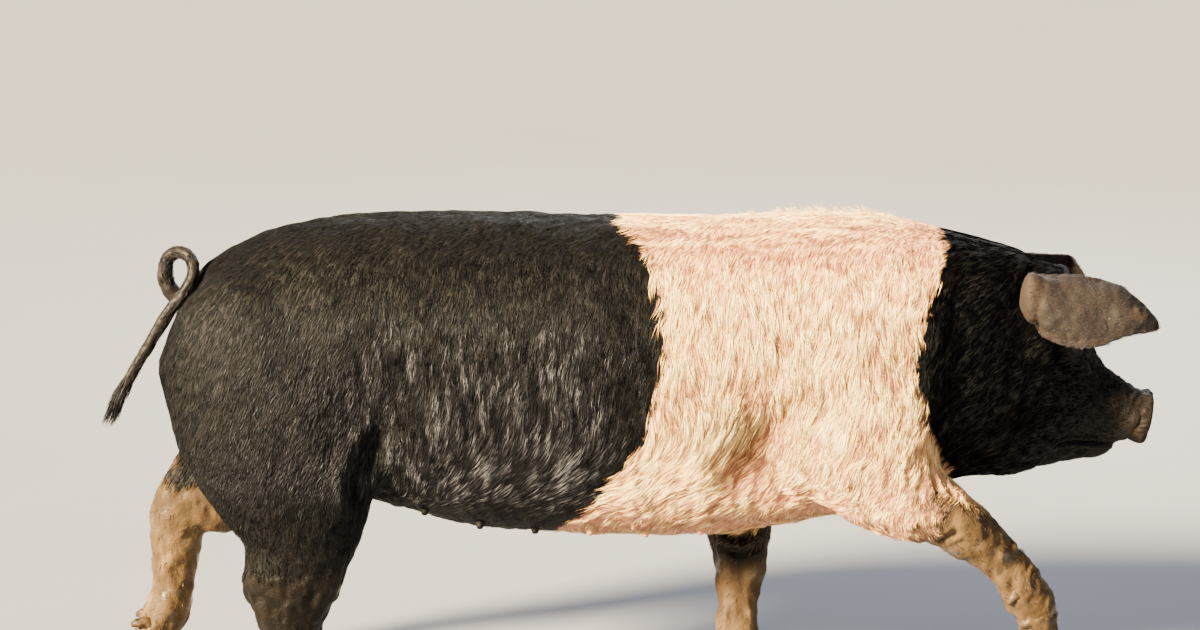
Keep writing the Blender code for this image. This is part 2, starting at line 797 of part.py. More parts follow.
def cut_root(obj, body, solver="EXACT"):
    """Cuts away what lies inside body, a thin gap short of it."""
    wide = grown(body, GAP)
    combine(obj, wide, "DIFFERENCE", solver)
    remove(wide)


def leg_frame(leg, row):
    """Place and axes of the cut square to the leg's path at the given section row."""
    rows = [Vector(each[:3]) for each in leg["rows"]]
    before = int(row)
    here = rows[before].lerp(rows[before + 1], row - before)
    start = rows[before] if row > before else rows[before - 1]
    down = (rows[before + 1] - start).normalized()
    return here, down, down.cross(Vector((0, 1, 0))).normalized()


def part_legs(torso, collection):
    """Each leg as an upper length, a lower length and a foot, parted from the torso."""
    nodes = {}
    for name, leg in LEGS.items():
        hind = name.startswith("hind")
        origin, forward, up = foot_axes(leg)
        low, high = (-0.09, -0.075, -0.06), (0.09, 0.075, CLAW_TOP)
        end = block("end", low, high, origin, forward, up, collection)
        combine(torso, end, "DIFFERENCE")
        remove(end)
        joints = {"foot": len(leg["rows"]) - 2, "lower": 5, "upper": leg["top_cut"]}
        widths = {"foot": 0.07, "lower": 0.1, "upper": 0.126 if hind else 0.085}
        for length, row in joints.items():
            here, down, front = leg_frame(leg, row)
            reach = widths[length]
            inner = 0.052 if length == "upper" else 0.062
            turn = 1 if here.y > 0 else -1
            low = [0.0, -inner if turn > 0 else -0.12, -reach]
            high = [0.22 if length != "foot" else 0.14, 0.12 if turn > 0 else inner, reach]
            if length == "upper":
                high[0] = (Vector(leg["rows"][5][:3]) - here).length + 0.06
            piece = f"{name}_{length}"
            nodes[piece] = part_box(torso, piece, low, high, here, down, front, collection)
    return nodes


def neck_axes():
    """Axes square to the neck's two cuts, which lean forward at the top."""
    return Vector((1, 0, -NECK_LEAN)).normalized(), Vector((NECK_LEAN, 0, 1)).normalized()


def cut_head(obj, operation, gap, collection):
    """Cuts the head's room out of the body, or all else off the head."""
    low, high = (HEAD_CUT_AHEAD + gap, -0.3, gap - HEAD_CUT_BELOW), (0.6, 0.3, 0.4)
    front = block("front", low, high, NECK_PLACE, *neck_axes(), collection)
    combine(obj, front, operation)
    remove(front)


def part_jaw(head, collection):
    """The lower jaw, parted from the head along the line of the mouth."""
    forward, up = head_axes()
    slope = math.atan2(MOUTH[-1][2] - MOUTH[1][2], MOUTH[-1][0] - MOUTH[1][0])
    mouth_forward = forward * math.cos(slope) + up * math.sin(slope)
    mouth_up = up * math.cos(slope) - forward * math.sin(slope)
    corner = head_point(MOUTH[1][0], 0, MOUTH[1][2])
    low, high = (0, -0.1, -0.12), (0.2, 0.1, 0)
    return part_box(head, "lower_jaw", low, high, corner, mouth_forward, mouth_up, collection)


def claws(name, leg, foot, lower, collection):
    """The two claws and two dewclaws of one foot."""
    made = {}
    for word, turn in (("inner", 1), ("outer", -1)):
        turn = -turn if leg["sole"][1] > 0 else turn
        horn = claw(f"{name}_claw_{word}", leg, turn, collection)
        if leg.get("on_tip"):
            cut_ground(horn, collection)
        made[horn.name] = horn
        spur = dewclaw(f"{name}_dewclaw_{word}", leg, turn, collection)
        cut_root(spur, foot)
        cut_root(spur, lower)
        made[spur.name] = spur
    return made


def coat_of(name):
    """The material's name for a node."""
    if "claw" in name:
        return "claw_horn"
    for start, key in (("eye", "eye"), ("ear", "ear_skin"), ("snout", "nose_skin")):
        if name.startswith(start):
            return key
    if name.endswith(("lower", "foot")):
        return "muddy_leg"
    return "white_coat" if name.startswith("fore") else "black_coat"


def main():
    clear_scene()
    pig = bpy.data.collections.new("saddleback_pig")
    bpy.context.scene.collection.children.link(pig)
    nodes = {}

    pieces = [trunk_loft(pig), *head_lofts(pig)]
    pieces += [leg_loft(name, leg, pig) for name, leg in LEGS.items()]
    torso = fused("torso", pieces, BODY_VOXEL, pig)
    decimate(torso, BODY_TRIANGLES)

    nodes["torso"] = torso
    cut_head(torso, "DIFFERENCE", 0.0, pig)
    nodes.update(part_legs(torso, pig))
    low, high = (0, -0.3, -NECK_CUT_BELOW), (0.35, 0.3, 0.4)
    nodes["neck"] = part_box(torso, "neck", low, high, NECK_PLACE, *neck_axes(), pig)

    head = fused("head", [trunk_loft(pig), *head_lofts(pig)], HEAD_VOXEL, pig)
    cut_head(head, "INTERSECT", GAP, pig)
    decimate(head, HEAD_TRIANGLES)
    middle, nose_forward, nose_up = nose_axes()
    tip = middle - nose_forward * (DISC_THICK + GAP)
    beyond = block("beyond", (0, -0.1, -0.1), (0.1, 0.1, 0.1), tip, nose_forward, nose_up, pig)
    combine(head, beyond, "DIFFERENCE")
    remove(beyond)
    nodes["head"] = head
    for side, turn, droop in (("right", 1, 0.0), ("left", -1, LEFT_EAR_DROOP)):
        ear = ear_loft(f"ear_{side}", turn, droop, pig)
        cut_root(ear, head, "MANIFOLD")
        cut_root(ear, nodes["neck"], "MANIFOLD")
        nodes[f"ear_{side}"] = ear
    eyes = [eye_axes(head, turn) for turn in (-1, 1)]
    eyelids(head, eyes, pig)
    nodes["lower_jaw"] = part_jaw(head, pig)
    nodes["snout"] = nose_disc(pig)

    for side, (centre, *_) in zip(("right", "left"), eyes):
        radii = (EYE_RADIUS,) * 3
        nodes[f"eye_{side}"] = ball(f"eye_{side}", centre, radii, 0, pig, 16, 10)
    tail = tube("tail", smooth_rows(TAIL, 2), 2, pig)
    tail_switch(tail, pig)
    cut_root(tail, torso)
    nodes["tail"] = tail
    for name, leg in LEGS.items():
        nodes.update(claws(name, leg, nodes[f"{name}_foot"], nodes[f"{name}_lower"], pig))
    add_teats(torso, pig)

    for name, obj in nodes.items():
        obj.name = name
        obj.data.name = name
        obj.data.materials.clear()
        obj.data.materials.append(coat(coat_of(name)))
        obj.data.shade_smooth()
        obj.data.set_sharp_from_angle(angle=CREASE)
        obj.data.transform(Matrix.Translation((ORIGIN_SHIFT, 0, 0)))
        print(name, len(obj.data.polygons))
    print("total", sum(len(obj.data.polygons) for obj in nodes.values()))


main()
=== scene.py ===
import math

import bmesh
import bpy
import numpy as np
from mathutils import Matrix, Vector
from mathutils.bvhtree import BVHTree


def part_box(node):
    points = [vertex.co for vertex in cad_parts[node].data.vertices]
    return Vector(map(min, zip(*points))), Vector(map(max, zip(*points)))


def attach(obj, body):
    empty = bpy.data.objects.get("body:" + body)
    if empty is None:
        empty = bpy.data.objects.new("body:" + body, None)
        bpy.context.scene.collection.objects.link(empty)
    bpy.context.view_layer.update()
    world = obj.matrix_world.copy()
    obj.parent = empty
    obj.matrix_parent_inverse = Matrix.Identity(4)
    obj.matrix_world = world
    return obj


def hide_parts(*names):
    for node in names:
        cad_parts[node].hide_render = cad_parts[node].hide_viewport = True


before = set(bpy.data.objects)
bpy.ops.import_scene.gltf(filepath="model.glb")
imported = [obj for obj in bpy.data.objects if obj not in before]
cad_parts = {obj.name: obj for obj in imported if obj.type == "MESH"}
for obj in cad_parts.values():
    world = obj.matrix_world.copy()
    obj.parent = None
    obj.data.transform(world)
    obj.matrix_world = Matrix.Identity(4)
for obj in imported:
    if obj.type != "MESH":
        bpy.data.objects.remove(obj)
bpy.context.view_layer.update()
packShift = 0.008
made = []  # every piece of the looks, moved by packShift at the end
print("frame loaded")


# Shader wires


class Wire:
    # wraps a socket, and sums and products on it add their Math nodes
    def __init__(self, paint, socket):
        self.paint, self.socket = paint, socket

    def math(self, operation, first, second):
        return self.paint.node("Math", {"operation": operation}, {0: first, 1: second})

    def __add__(self, other):
        return self.math("ADD", self, other)

    def __sub__(self, other):
        return self.math("SUBTRACT", self, other)

    def __rsub__(self, other):
        return self.math("SUBTRACT", other, self)

    def __mul__(self, other):
        return self.math("MULTIPLY", self, other)

    def __pow__(self, other):
        return self.math("POWER", self, other)

    __radd__ = __add__
    __rmul__ = __mul__


class Paint:
    # one material and its nodes
    def __init__(self, name, **fixed):
        self.material = bpy.data.materials.new(name)
        self.material.use_nodes = True
        self.tree = self.material.node_tree
        self.shader = self.tree.nodes["Principled BSDF"]
        for key, value in fixed.items():
            self.shader.inputs[key.replace("_", " ")].default_value = value

    def put(self, socket, value):
        if isinstance(value, Wire):
            self.tree.links.new(value.socket, socket)
        elif hasattr(socket.default_value, "__len__") and len(value) < len(socket.default_value):
            socket.default_value = (*value, 1)
        else:
            socket.default_value = value

    def node(self, kind, settings=None, values=None, out=0):
        new = self.tree.nodes.new("ShaderNode" + kind)
        for key, value in (settings or {}).items():
            if key == "stops":
                stops = new.color_ramp.elements
                while len(stops) < len(value):
                    stops.new(1)
                for stop, (place, colour) in zip(stops, value):
                    stop.position, stop.color = place, (*colour, 1)
            else:
                setattr(new, key, value)
        for key, value in (values or {}).items():
            self.put(new.inputs[key], value)
        return Wire(self, new.outputs[out])

    def place(self):
        return self.node("TexCoord", out="Object")

    def stretched(self, scale):
        return self.node("Mapping", {}, {"Vector": self.place(), "Scale": scale})

    def noise(self, vector, scale, detail=3.0, rough=0.55):
        values = {"Vector": vector, "Scale": scale, "Detail": detail, "Roughness": rough}
        return self.node("TexNoise", {}, values)

    def stored(self, name):
        return self.node("Attribute", {"attribute_name": name}, {}, out="Fac")

    def ramp(self, value, *stops):
        return self.node("ValToRGB", {"stops": stops}, {"Fac": value})

    def mask(self, value, low, high):
        # 0 below low and 1 above high, softly
        settings = {"interpolation_type": "SMOOTHSTEP"}
        return self.node("MapRange", settings, {"Value": value, 1: low, 2: high})

    def mixed(self, factor, first, second):
        return self.node("Mix", {"data_type": "RGBA"}, {0: factor, 6: first, 7: second}, out=2)

    def finish(self, colour, roughness, height=None, relief=0.001, coat=None):
        self.put(self.shader.inputs["Base Color"], colour)
        self.put(self.shader.inputs["Roughness"], roughness)
        if coat is not None:
            self.put(self.shader.inputs["Coat Weight"], coat)
        if height is not None:
            bump = self.node("Bump", {}, {"Distance": relief, "Height": height})
            self.put(self.shader.inputs["Normal"], bump)
        return self.material


# Shapes: smooth tables, sections and lofts


def smoothRows(rows, perSpan):
    # rows along a smooth curve through the given rows
    table = np.array(rows, float)
    padded = np.vstack([2 * table[0] - table[1], table, 2 * table[-1] - table[-2]])
    out = []
    for i in range(1, len(table)):
        p0, p1, p2, p3 = padded[i - 1 : i + 3]
        for t in np.arange(perSpan) / perSpan:
            a, b = 2 * p0 - 5 * p1 + 4 * p2 - p3, 3 * p1 - p0 - 3 * p2 + p3
            out.append(0.5 * (2 * p1 + (p2 - p0) * t + a * t * t + b * t**3))
    out.append(table[-1])
    return np.array(out)


def section(centre, side, up, half, above, below, power=2.0, sag=0.0, points=36):
    # one closed ring, squarer with a higher power, its widest line lowered by sag
    angle = np.arange(points) * 2 * math.pi / points
    c, s = np.cos(angle), np.sin(angle)
    across = np.sign(c) * np.abs(c) ** (2 / power) * half * (1 - sag * s)
    rise = np.sign(s) * np.abs(s) ** (2 / power) * np.where(s > 0, above, below)
    return np.array(centre) + np.outer(across, side) + np.outer(rise, up)


def added(name, data):
    obj = bpy.data.objects.new(name, data)
    bpy.context.scene.collection.objects.link(obj)
    return obj


def meshObject(name, points, faces):
    mesh = bpy.data.meshes.new(name)
    mesh.from_pydata([tuple(p) for p in points], [], faces)
    mesh.update()
    return added(name, mesh)


def bmeshObject(name, bm):
    mesh = bpy.data.meshes.new(name)
    bm.to_mesh(mesh)
    bm.free()
    return added(name, mesh)


def outward(obj):
    bm = bmesh.new()
    bm.from_mesh(obj.data)
    bmesh.ops.recalc_face_normals(bm, faces=bm.faces)
    bm.to_mesh(obj.data)
    bm.free()
    return obj


def loft(name, rings, closed=False):
    # through the rings, capped at both ends, or joined end to end where closed
    count, size = len(rings), len(rings[0])
    faces = []
    for i in range(count if closed else count - 1):
        a, b = i * size, (i + 1) % count * size
        for k in range(size):
            n = (k + 1) % size
            faces.append((a + k, a + n, b + n, b + k))
    if not closed:
        faces += [tuple(range(size))[::-1], tuple(range((count - 1) * size, count * size))]
    return outward(meshObject(name, np.concatenate(rings), faces))


def tubeRings(rows, points=16):
    # round rings square to the path through rows of place and radius
    rings = []
    path = np.array(rows)[:, :3]
    front = None
    for i, (x, y, z, radius) in enumerate(rows):
        down = path[min(i + 1, len(path) - 1)] - path[max(i - 1, 0)]
        down /= np.linalg.norm(down)
        if front is None:
            front = np.cross(down, (0.0, 1.0, 0.0))
        front = front - down * front.dot(down)
        front /= np.linalg.norm(front)
        rings.append(section((x, y, z), np.cross(front, down), front, radius, radius, radius, points=points))
    return rings


def modified(obj, *steps):
    # adds the modifiers with their settings and applies them
    for kind, settings in steps:
        modifier = obj.modifiers.new(kind.title(), kind)
        for key, value in settings.items():
            setattr(modifier, key, value)
    graph = bpy.context.evaluated_depsgraph_get()
    mesh = bpy.data.meshes.new_from_object(obj.evaluated_get(graph), depsgraph=graph)
    obj.modifiers.clear()
    obj.data = mesh
    obj.vertex_groups.clear()
    return obj


def voxels(grid):
    return "REMESH", {"mode": "VOXEL", "voxel_size": grid}


def smoothing(rounds, group=""):
    return "SMOOTH", {"vertex_group": group, "factor": 0.5, "iterations": rounds}


def joined(name, pieces):
    bm = bmesh.new()
    for piece in pieces:
        bm.from_mesh(piece.data)
        bpy.data.objects.remove(piece, do_unlink=True)
    return bmeshObject(name, bm)


def readAll(items, key, width, kind=float):
    flat = np.empty(len(items) * width, kind)
    items.foreach_get(key, flat)
    return flat.reshape(-1, width)


def coordinates(mesh):
    return readAll(mesh.vertices, "co", 3)


def surface(mesh):
    # the points and their normals
    return coordinates(mesh), readAll(mesh.vertex_normals, "vector", 3)


def moveTo(mesh, points):
    mesh.vertices.foreach_set("co", points.ravel())
    mesh.update()


def pushOut(mesh, move):
    # moves each point along its normal
    points, out = surface(mesh)
    moveTo(mesh, points + out * move[:, None])


def treeOf(mesh):
    faces = [tuple(face.vertices) for face in mesh.polygons]
    return BVHTree.FromPolygons([tuple(p) for p in coordinates(mesh)], faces)


def store(mesh, name, values):
    layer = mesh.attributes.new(name, "FLOAT", "POINT")
    layer.data.foreach_set("value", np.ascontiguousarray(values, dtype=np.float32))


def step(value, low, high):
    # 0 at low and 1 at high, softly; low may lie above high
    t = np.clip((value - low) / (high - low), 0, 1)
    return t * t * (3 - 2 * t)


def unit(vectors):
    return vectors / np.maximum(np.linalg.norm(vectors, axis=-1, keepdims=True), 1e-9)


class Ripple:
    # smooth seeded noise about 0, a sum of plane waves of about the given length
    def __init__(self, seed, length, waves=18):
        rng = np.random.default_rng(seed)
        self.pull = unit(rng.normal(size=(waves, 3))) * 2 * math.pi
        self.pull /= length * rng.uniform(0.65, 1.6, (waves, 1))
        self.phase = rng.uniform(0, 2 * math.pi, waves)
        self.gain = math.sqrt(2 / waves)

    def __call__(self, points):
        return np.cos(points @ self.pull.T + self.phase).sum(1) * self.gain


def takeOver(piece, slot, nodes=(), material=None):
    # the piece's finish, its slot (kept in the list but not used), and the CAD nodes that it stands for
    piece.data.shade_smooth()
    if material is not None:
        piece.data.materials.clear()
        piece.data.materials.append(material)
    made.append((piece, slot, nodes))
    return piece


# Head axes, shared by the skin, eyes, nose and the lie of the hair

head = {"tilt": math.radians(21.5), "place": np.array((0.546, 0, 0.527))}
headForward = np.array((math.cos(head["tilt"]), 0, -math.sin(head["tilt"])))
headUp = np.array((math.sin(head["tilt"]), 0, math.cos(head["tilt"])))
sideways = np.array((0.0, 1.0, 0.0))


def headPoint(ahead, across, height):
    return head["place"] + headForward * ahead + headUp * height + sideways * across


def headAxesOf(points):
    # distance ahead, across and height of points in the head's own axes
    local = points - head["place"]
    return local @ headForward, local[:, 1], local @ headUp


# Flesh: the same tables as the solids, fused on a finer grid

flesh = {
    "grid": 0.0034,
    "solidsGrid": 0.0065,  # the rounds below are for this grid
    "smoothing": 10,
    "softening": 50,
    "triangles": 192000,
    "coatDepth": 0.0026,
    # x, top z, bottom z, half width, sag
    "trunk": [
        (-0.672, 0.625, 0.500, 0.040, 0.0), (-0.650, 0.668, 0.440, 0.080, 0.0),
        (-0.610, 0.698, 0.400, 0.118, 0.0), (-0.555, 0.724, 0.370, 0.148, 0.0),
        (-0.490, 0.741, 0.345, 0.168, 0.02), (-0.410, 0.751, 0.325, 0.176, 0.05),
        (-0.340, 0.755, 0.305, 0.180, 0.08), (-0.270, 0.756, 0.286, 0.186, 0.10),
        (-0.200, 0.755, 0.276, 0.191, 0.11), (-0.050, 0.751, 0.269, 0.195, 0.12),
        (0.075, 0.749, 0.267, 0.192, 0.11), (0.165, 0.750, 0.273, 0.185, 0.08),
        (0.250, 0.753, 0.285, 0.174, 0.04), (0.330, 0.753, 0.300, 0.165, 0.02),
        (0.400, 0.746, 0.320, 0.154, 0.02), (0.457, 0.732, 0.342, 0.143, 0.04),
        (0.517, 0.717, 0.355, 0.133, 0.08), (0.570, 0.703, 0.353, 0.118, 0.12),
        (0.615, 0.678, 0.374, 0.090, 0.14), (0.640, 0.630, 0.430, 0.050, 0.10),
    ],
    # ahead, above, below, half width, sag
    "skull": [
        (-0.070, 0.140, 0.140, 0.110, 0.08), (-0.010, 0.165, 0.160, 0.122, 0.10),
        (0.040, 0.175, 0.158, 0.119, 0.12), (0.072, 0.151, 0.145, 0.110, 0.13),
        (0.100, 0.114, 0.128, 0.095, 0.13), (0.130, 0.075, 0.106, 0.074, 0.12),
        (0.160, 0.053, 0.080, 0.058, 0.10), (0.190, 0.043, 0.058, 0.048, 0.06),
        (0.215, 0.039, 0.046, 0.043, 0.04), (0.232, 0.040, 0.041, 0.041, 0.0),
    ],
    # ahead, middle height, half height, half width
    "jaw": [
        (0.020, -0.105, 0.045, 0.080), (0.070, -0.103, 0.040, 0.066),
        (0.120, -0.092, 0.031, 0.050), (0.160, -0.078, 0.024, 0.038),
        (0.190, -0.067, 0.018, 0.030), (0.207, -0.061, 0.012, 0.022),
    ],
    # ahead, across, height
    "mouth": [
        (0.108, 0.064, -0.069), (0.120, 0.061, -0.071), (0.150, 0.049, -0.062),
        (0.180, 0.035, -0.054), (0.203, 0.021, -0.049), (0.213, 0.000, -0.047),
    ],
    "lips": (0.0052, -0.0058),
    "lipRadius": 0.0056,
    # balls in the head's axes: place, radii
    "balls": [
        ((0.030, 0.066, -0.070), (0.095, 0.050, 0.080)),
        ((0.080, 0.054, 0.090), (0.034, 0.014, 0.013)),
    ],
}

# rows of x, y, z, then front, back and side radius; the middle of the sole and the toe's turn
# down; where the mud starts and how pale it is at its top and below, where low paleness is painted
# shade; the way the hair falls; and the x and y that the leg is unwrapped round
legs = {
    "hind_right": {
        "rows": [
            (-0.460, -0.055, 0.620, 0.080, 0.090, 0.050),
            (-0.505, -0.092, 0.565, 0.140, 0.174, 0.082),
            (-0.525, -0.108, 0.470, 0.150, 0.164, 0.084),
            (-0.512, -0.116, 0.375, 0.160, 0.126, 0.070),
            (-0.492, -0.118, 0.285, 0.092, 0.088, 0.054),
            (-0.502, -0.116, 0.203, 0.064, 0.082, 0.044),
            (-0.507, -0.112, 0.148, 0.046, 0.053, 0.038),
            (-0.500, -0.110, 0.098, 0.037, 0.040, 0.034),
            (-0.492, -0.110, 0.066, 0.037, 0.038, 0.036),
        ],
        "sole": (-0.466, -0.110, 0.0),
        "pitch": 0.0,
        "mudFrom": 0.235,
        "ochre": (-0.10, -0.15),
        "hairFall": (0.0, 0, -1.0),
        "middle": (-0.50, -0.112),
    },
    "hind_left": {
        "rows": [
            (-0.460, 0.055, 0.620, 0.080, 0.090, 0.050),
            (-0.510, 0.092, 0.560, 0.135, 0.174, 0.084),
            (-0.540, 0.106, 0.475, 0.130, 0.190, 0.088),
            (-0.570, 0.114, 0.395, 0.110, 0.184, 0.080),
            (-0.628, 0.117, 0.310, 0.080, 0.114, 0.058),
            (-0.700, 0.116, 0.262, 0.056, 0.055, 0.042),
            (-0.712, 0.113, 0.195, 0.038, 0.040, 0.036),
            (-0.716, 0.110, 0.140, 0.034, 0.036, 0.033),
            (-0.727, 0.107, 0.102, 0.037, 0.038, 0.035),
        ],
        "sole": (-0.7885, 0.105, 0.0268),
        "pitch": math.radians(58),
        "mudFrom": 0.330,
        "ochre": (0.42, 0.95),
        "hairFall": (-0.35, 0, -1.0),
        "middle": (-0.70, 0.112),
    },
    "fore_right": {
        "rows": [
            (0.300, -0.085, 0.620, 0.060, 0.060, 0.040),
            (0.330, -0.112, 0.520, 0.098, 0.105, 0.057),
            (0.350, -0.122, 0.420, 0.106, 0.105, 0.065),
            (0.405, -0.126, 0.355, 0.062, 0.078, 0.056),
            (0.455, -0.124, 0.325, 0.052, 0.050, 0.048),
            (0.507, -0.120, 0.290, 0.038, 0.044, 0.043),
            (0.548, -0.114, 0.250, 0.034, 0.034, 0.034),
            (0.580, -0.110, 0.207, 0.034, 0.037, 0.036),
            (0.588, -0.109, 0.190, 0.034, 0.036, 0.036),
        ],
        "sole": (0.598, -0.108, 0.139),
        "pitch": math.radians(10),
        "mudFrom": 0.300,
        "ochre": (0.70, 0.75),
        "hairFall": (0.75, 0, -0.85),
        "middle": (0.53, -0.117),
    },
    "fore_left": {
        "rows": [
            (0.250, 0.085, 0.620, 0.060, 0.060, 0.040),
            (0.242, 0.114, 0.520, 0.100, 0.104, 0.064),
            (0.202, 0.116, 0.410, 0.094, 0.096, 0.066),
            (0.168, 0.100, 0.300, 0.062, 0.070, 0.053),
            (0.168, 0.090, 0.235, 0.050, 0.056, 0.046),
            (0.170, 0.083, 0.185, 0.041, 0.043, 0.042),
            (0.167, 0.074, 0.125, 0.032, 0.034, 0.034),
            (0.164, 0.068, 0.085, 0.034, 0.036, 0.036),
            (0.170, 0.067, 0.062, 0.034, 0.034, 0.036),
        ],
        "sole": (0.192, 0.066, 0.0),
        "pitch": 0.0,
        "mudFrom": 0.262,
        "ochre": (0.0, 0.85),
        "hairFall": (-0.1, 0, -1.0),
        "middle": (0.17, 0.085),
    },
}
footHeights = {"claw": 0.036, "sole": 0.014}


def perLeg(key, index):
    # a value of the legs' table for each index
    return np.array([leg[key] for leg in legs.values()])[index]


def footPoint(leg, ahead, across, height):
    pitch = leg["pitch"]
    forward = np.array((math.cos(pitch), 0, -math.sin(pitch)))
    up = np.array((math.sin(pitch), 0, math.cos(pitch)))
    return np.array(leg["sole"]) + forward * ahead + up * height + sideways * across


def legPath(leg):
    rows = list(leg["rows"])
    rows.append((*footPoint(leg, -0.006, 0, footHeights["claw"]), 0.034, 0.030, 0.035))
    rows.append((*footPoint(leg, -0.004, 0, footHeights["sole"]), 0.034, 0.028, 0.034))
    return smoothRows(rows, 4)


def legLoft(leg):
    dense = legPath(leg)
    rings = []
    for i, row in enumerate(dense):
        down = unit(dense[min(i + 1, len(dense) - 1)][:3] - dense[max(i - 1, 0)][:3])
        front = unit(np.cross(down, sideways))
        side = np.cross(front, down)
        rings.append(section(row[:3], side, front, row[5], row[3], row[4], 2.1))
    return loft("leg", rings)


def ball(place, radii, tilt=0.0, segments=32):
    turn = Matrix.Translation(place) @ Matrix.Rotation(tilt, 4, "Y") @ Matrix.Diagonal((*radii, 1))
    bm = bmesh.new()
    bmesh.ops.create_uvsphere(bm, u_segments=segments, v_segments=segments // 2, radius=1, matrix=turn)
    return bmeshObject("ball", bm)


def fleshPieces():
    up = np.array((0.0, 0.0, 1.0))
    rings = []
    for x, top, bottom, half, sag in smoothRows(flesh["trunk"], 4):
        rise = 0.5 * (top - bottom)
        rings.append(section((x, 0, bottom + rise), sideways, up, half, rise, rise, 2.25, sag, 64))
    pieces = [loft("trunk", rings)]
    rings = [
        section(headPoint(d, 0, 0), sideways, headUp, half, above, below, 2.15, sag)
        for d, above, below, half, sag in smoothRows(flesh["skull"], 4)
    ]
    pieces.append(loft("skull", rings))
    rings = [
        section(headPoint(d, 0, height), sideways, headUp, half, rise, rise, 2.3)
        for d, height, rise, half in smoothRows(flesh["jaw"], 4)
    ]
    pieces.append(loft("jaw", rings))
    for turn in (-1, 1):
        for (ahead, across, height), radii in flesh["balls"]:
            pieces.append(ball(headPoint(ahead, turn * across, height), radii, head["tilt"]))
    for lift in flesh["lips"]:
        half = [(d, a, h + lift) for d, a, h in flesh["mouth"]]
        whole = half + [(d, -a, h) for d, a, h in reversed(half[:-1])]
        rows = [(*headPoint(*row), flesh["lipRadius"]) for row in smoothRows(whole, 3)]
        pieces.append(loft("lip", tubeRings(rows)))
    return pieces + [legLoft(leg) for leg in legs.values()]


def fuse():
    # one closed skin, smoothed as the solids are
    skin = joined("skin", fleshPieces())
    share = (flesh["solidsGrid"] / flesh["grid"]) ** 2
    modified(skin, voxels(flesh["grid"]), smoothing(round(flesh["smoothing"] * share)))
    p = coordinates(skin.data)
    blend = np.clip(np.minimum((p[:, 2] - 0.36) / 0.09, (0.66 - p[:, 0]) / 0.14), 0, 1)
    weigh(skin, "blend", blend)
    modified(skin, smoothing(round(flesh["softening"] * share), "blend"))
    keepLargest(skin)
    return skin


def thinOut(skin):
    # fewer faces where the skin is plain, and most of them on the head and along the markings
    points = coordinates(skin.data)
    white, mud = whiteAt(points, 0.020), mudAt(points, 0.030)
    plain = 1 - np.maximum(4 * white * (1 - white), 4 * mud * (1 - mud))
    weigh(skin, "plain", np.clip(plain, 0.05, 1) * step(points[:, 0], 0.62, 0.56))
    ratio = flesh["triangles"] / (2 * len(skin.data.polygons))
    settings = {"vertex_group": "plain", "vertex_group_factor": 0.02, "ratio": ratio}
    modified(skin, ("DECIMATE", settings))


def weigh(obj, name, weights):
    group = obj.vertex_groups.new(name=name)
    levels = np.round(weights * 20).astype(int)
    for level in np.unique(levels):
        if level:
            group.add(np.flatnonzero(levels == level).tolist(), level / 20, "REPLACE")


def keepLargest(obj):
    # drops closed shells inside the skin
    bm = bmesh.new()
    bm.from_mesh(obj.data)
    seen, best = set(), []
    for start in bm.verts:
        if start in seen:
            continue
        stack, part = [start], []
        seen.add(start)
        while stack:
            vert = stack.pop()
            part.append(vert)
            for edge in vert.link_edges:
                other = edge.other_vert(vert)
                if other not in seen:
                    seen.add(other)
                    stack.append(other)
        best.append(part)
    largest = max(best, key=len)
    spare = [v for part in best if part is not largest for v in part]
    bmesh.ops.delete(bm, geom=spare, context="VERTS")
    bm.to_mesh(obj.data)
    bm.free()


skin = fuse()
print("skin fused:", len(skin.data.polygons), "faces")


# Markings, by place alone, so that skin and coat carry the same ones

markings = {
    # height and x of the white band's rear and front edges, for either side
    "rear": [
        (0.250, -0.150), (0.307, -0.094), (0.349, -0.050), (0.404, -0.013), (0.453, 0.009),
        (0.514, 0.030), (0.558, 0.041), (0.602, 0.044), (0.658, 0.043), (0.704, 0.030),
        (0.731, 0.009), (0.749, -0.012), (0.770, -0.020),
    ],
    "front": [
        (0.290, 0.800), (0.330, 0.600), (0.360, 0.500), (0.392, 0.466), (0.424, 0.457),
        (0.455, 0.439), (0.501, 0.426), (0.547, 0.414), (0.591, 0.420), (0.646, 0.432),
        (0.677, 0.449), (0.714, 0.464), (0.731, 0.465), (0.770, 0.460),
    ],
    "edge": 0.004,  # how far the edges wander
    "mudEdge": (0.011, 0.006),  # the same for the mud, broadly and finely
}
edgeRipple, edgeRippleFine = Ripple(3, 0.05), Ripple(4, 0.014)
mudRipple, mudRippleFine = Ripple(5, 0.045), Ripple(6, 0.014)


def whiteAt(points, blur=0.004):
    # 1 in the white band, 0 in the black coat
    x, z = points[:, 0], points[:, 2]
    wander = markings["edge"] * (edgeRipple(points) + 0.7 * edgeRippleFine(points))
    rear = np.interp(z, *np.array(markings["rear"]).T)
    front = np.interp(z, *np.array(markings["front"]).T)
    front -= np.maximum(0, front - 0.455) * step(np.abs(points[:, 1]), 0.088, 0.066) * step(z, 0.44, 0.42)
    return step(x - rear + wander, -blur, blur) * step(front - x + wander, -blur, blur)


def toSegment(points, a, b):
    # how far along from a to b the nearest place is, and the distance to it
    t = np.clip((points - a) @ (b - a) / max((b - a) @ (b - a), 1e-9), 0, 1)
    return t, np.linalg.norm(points - a - np.outer(t, b - a), axis=1)


def nearestLeg(points):
    # index of the leg whose path is nearest, and the distance to that path
    best, index = np.full(len(points), 9.0), np.zeros(len(points), int)
    for k, leg in enumerate(legs.values()):
        path = legPath(leg)[8:, :3]  # without its first two spans, inside the trunk
        for a, b in zip(path, path[1:]):
            _, apart = toSegment(points, a, b)
            closer = apart < best
            best[closer], index[closer] = apart[closer], k
    return index, best


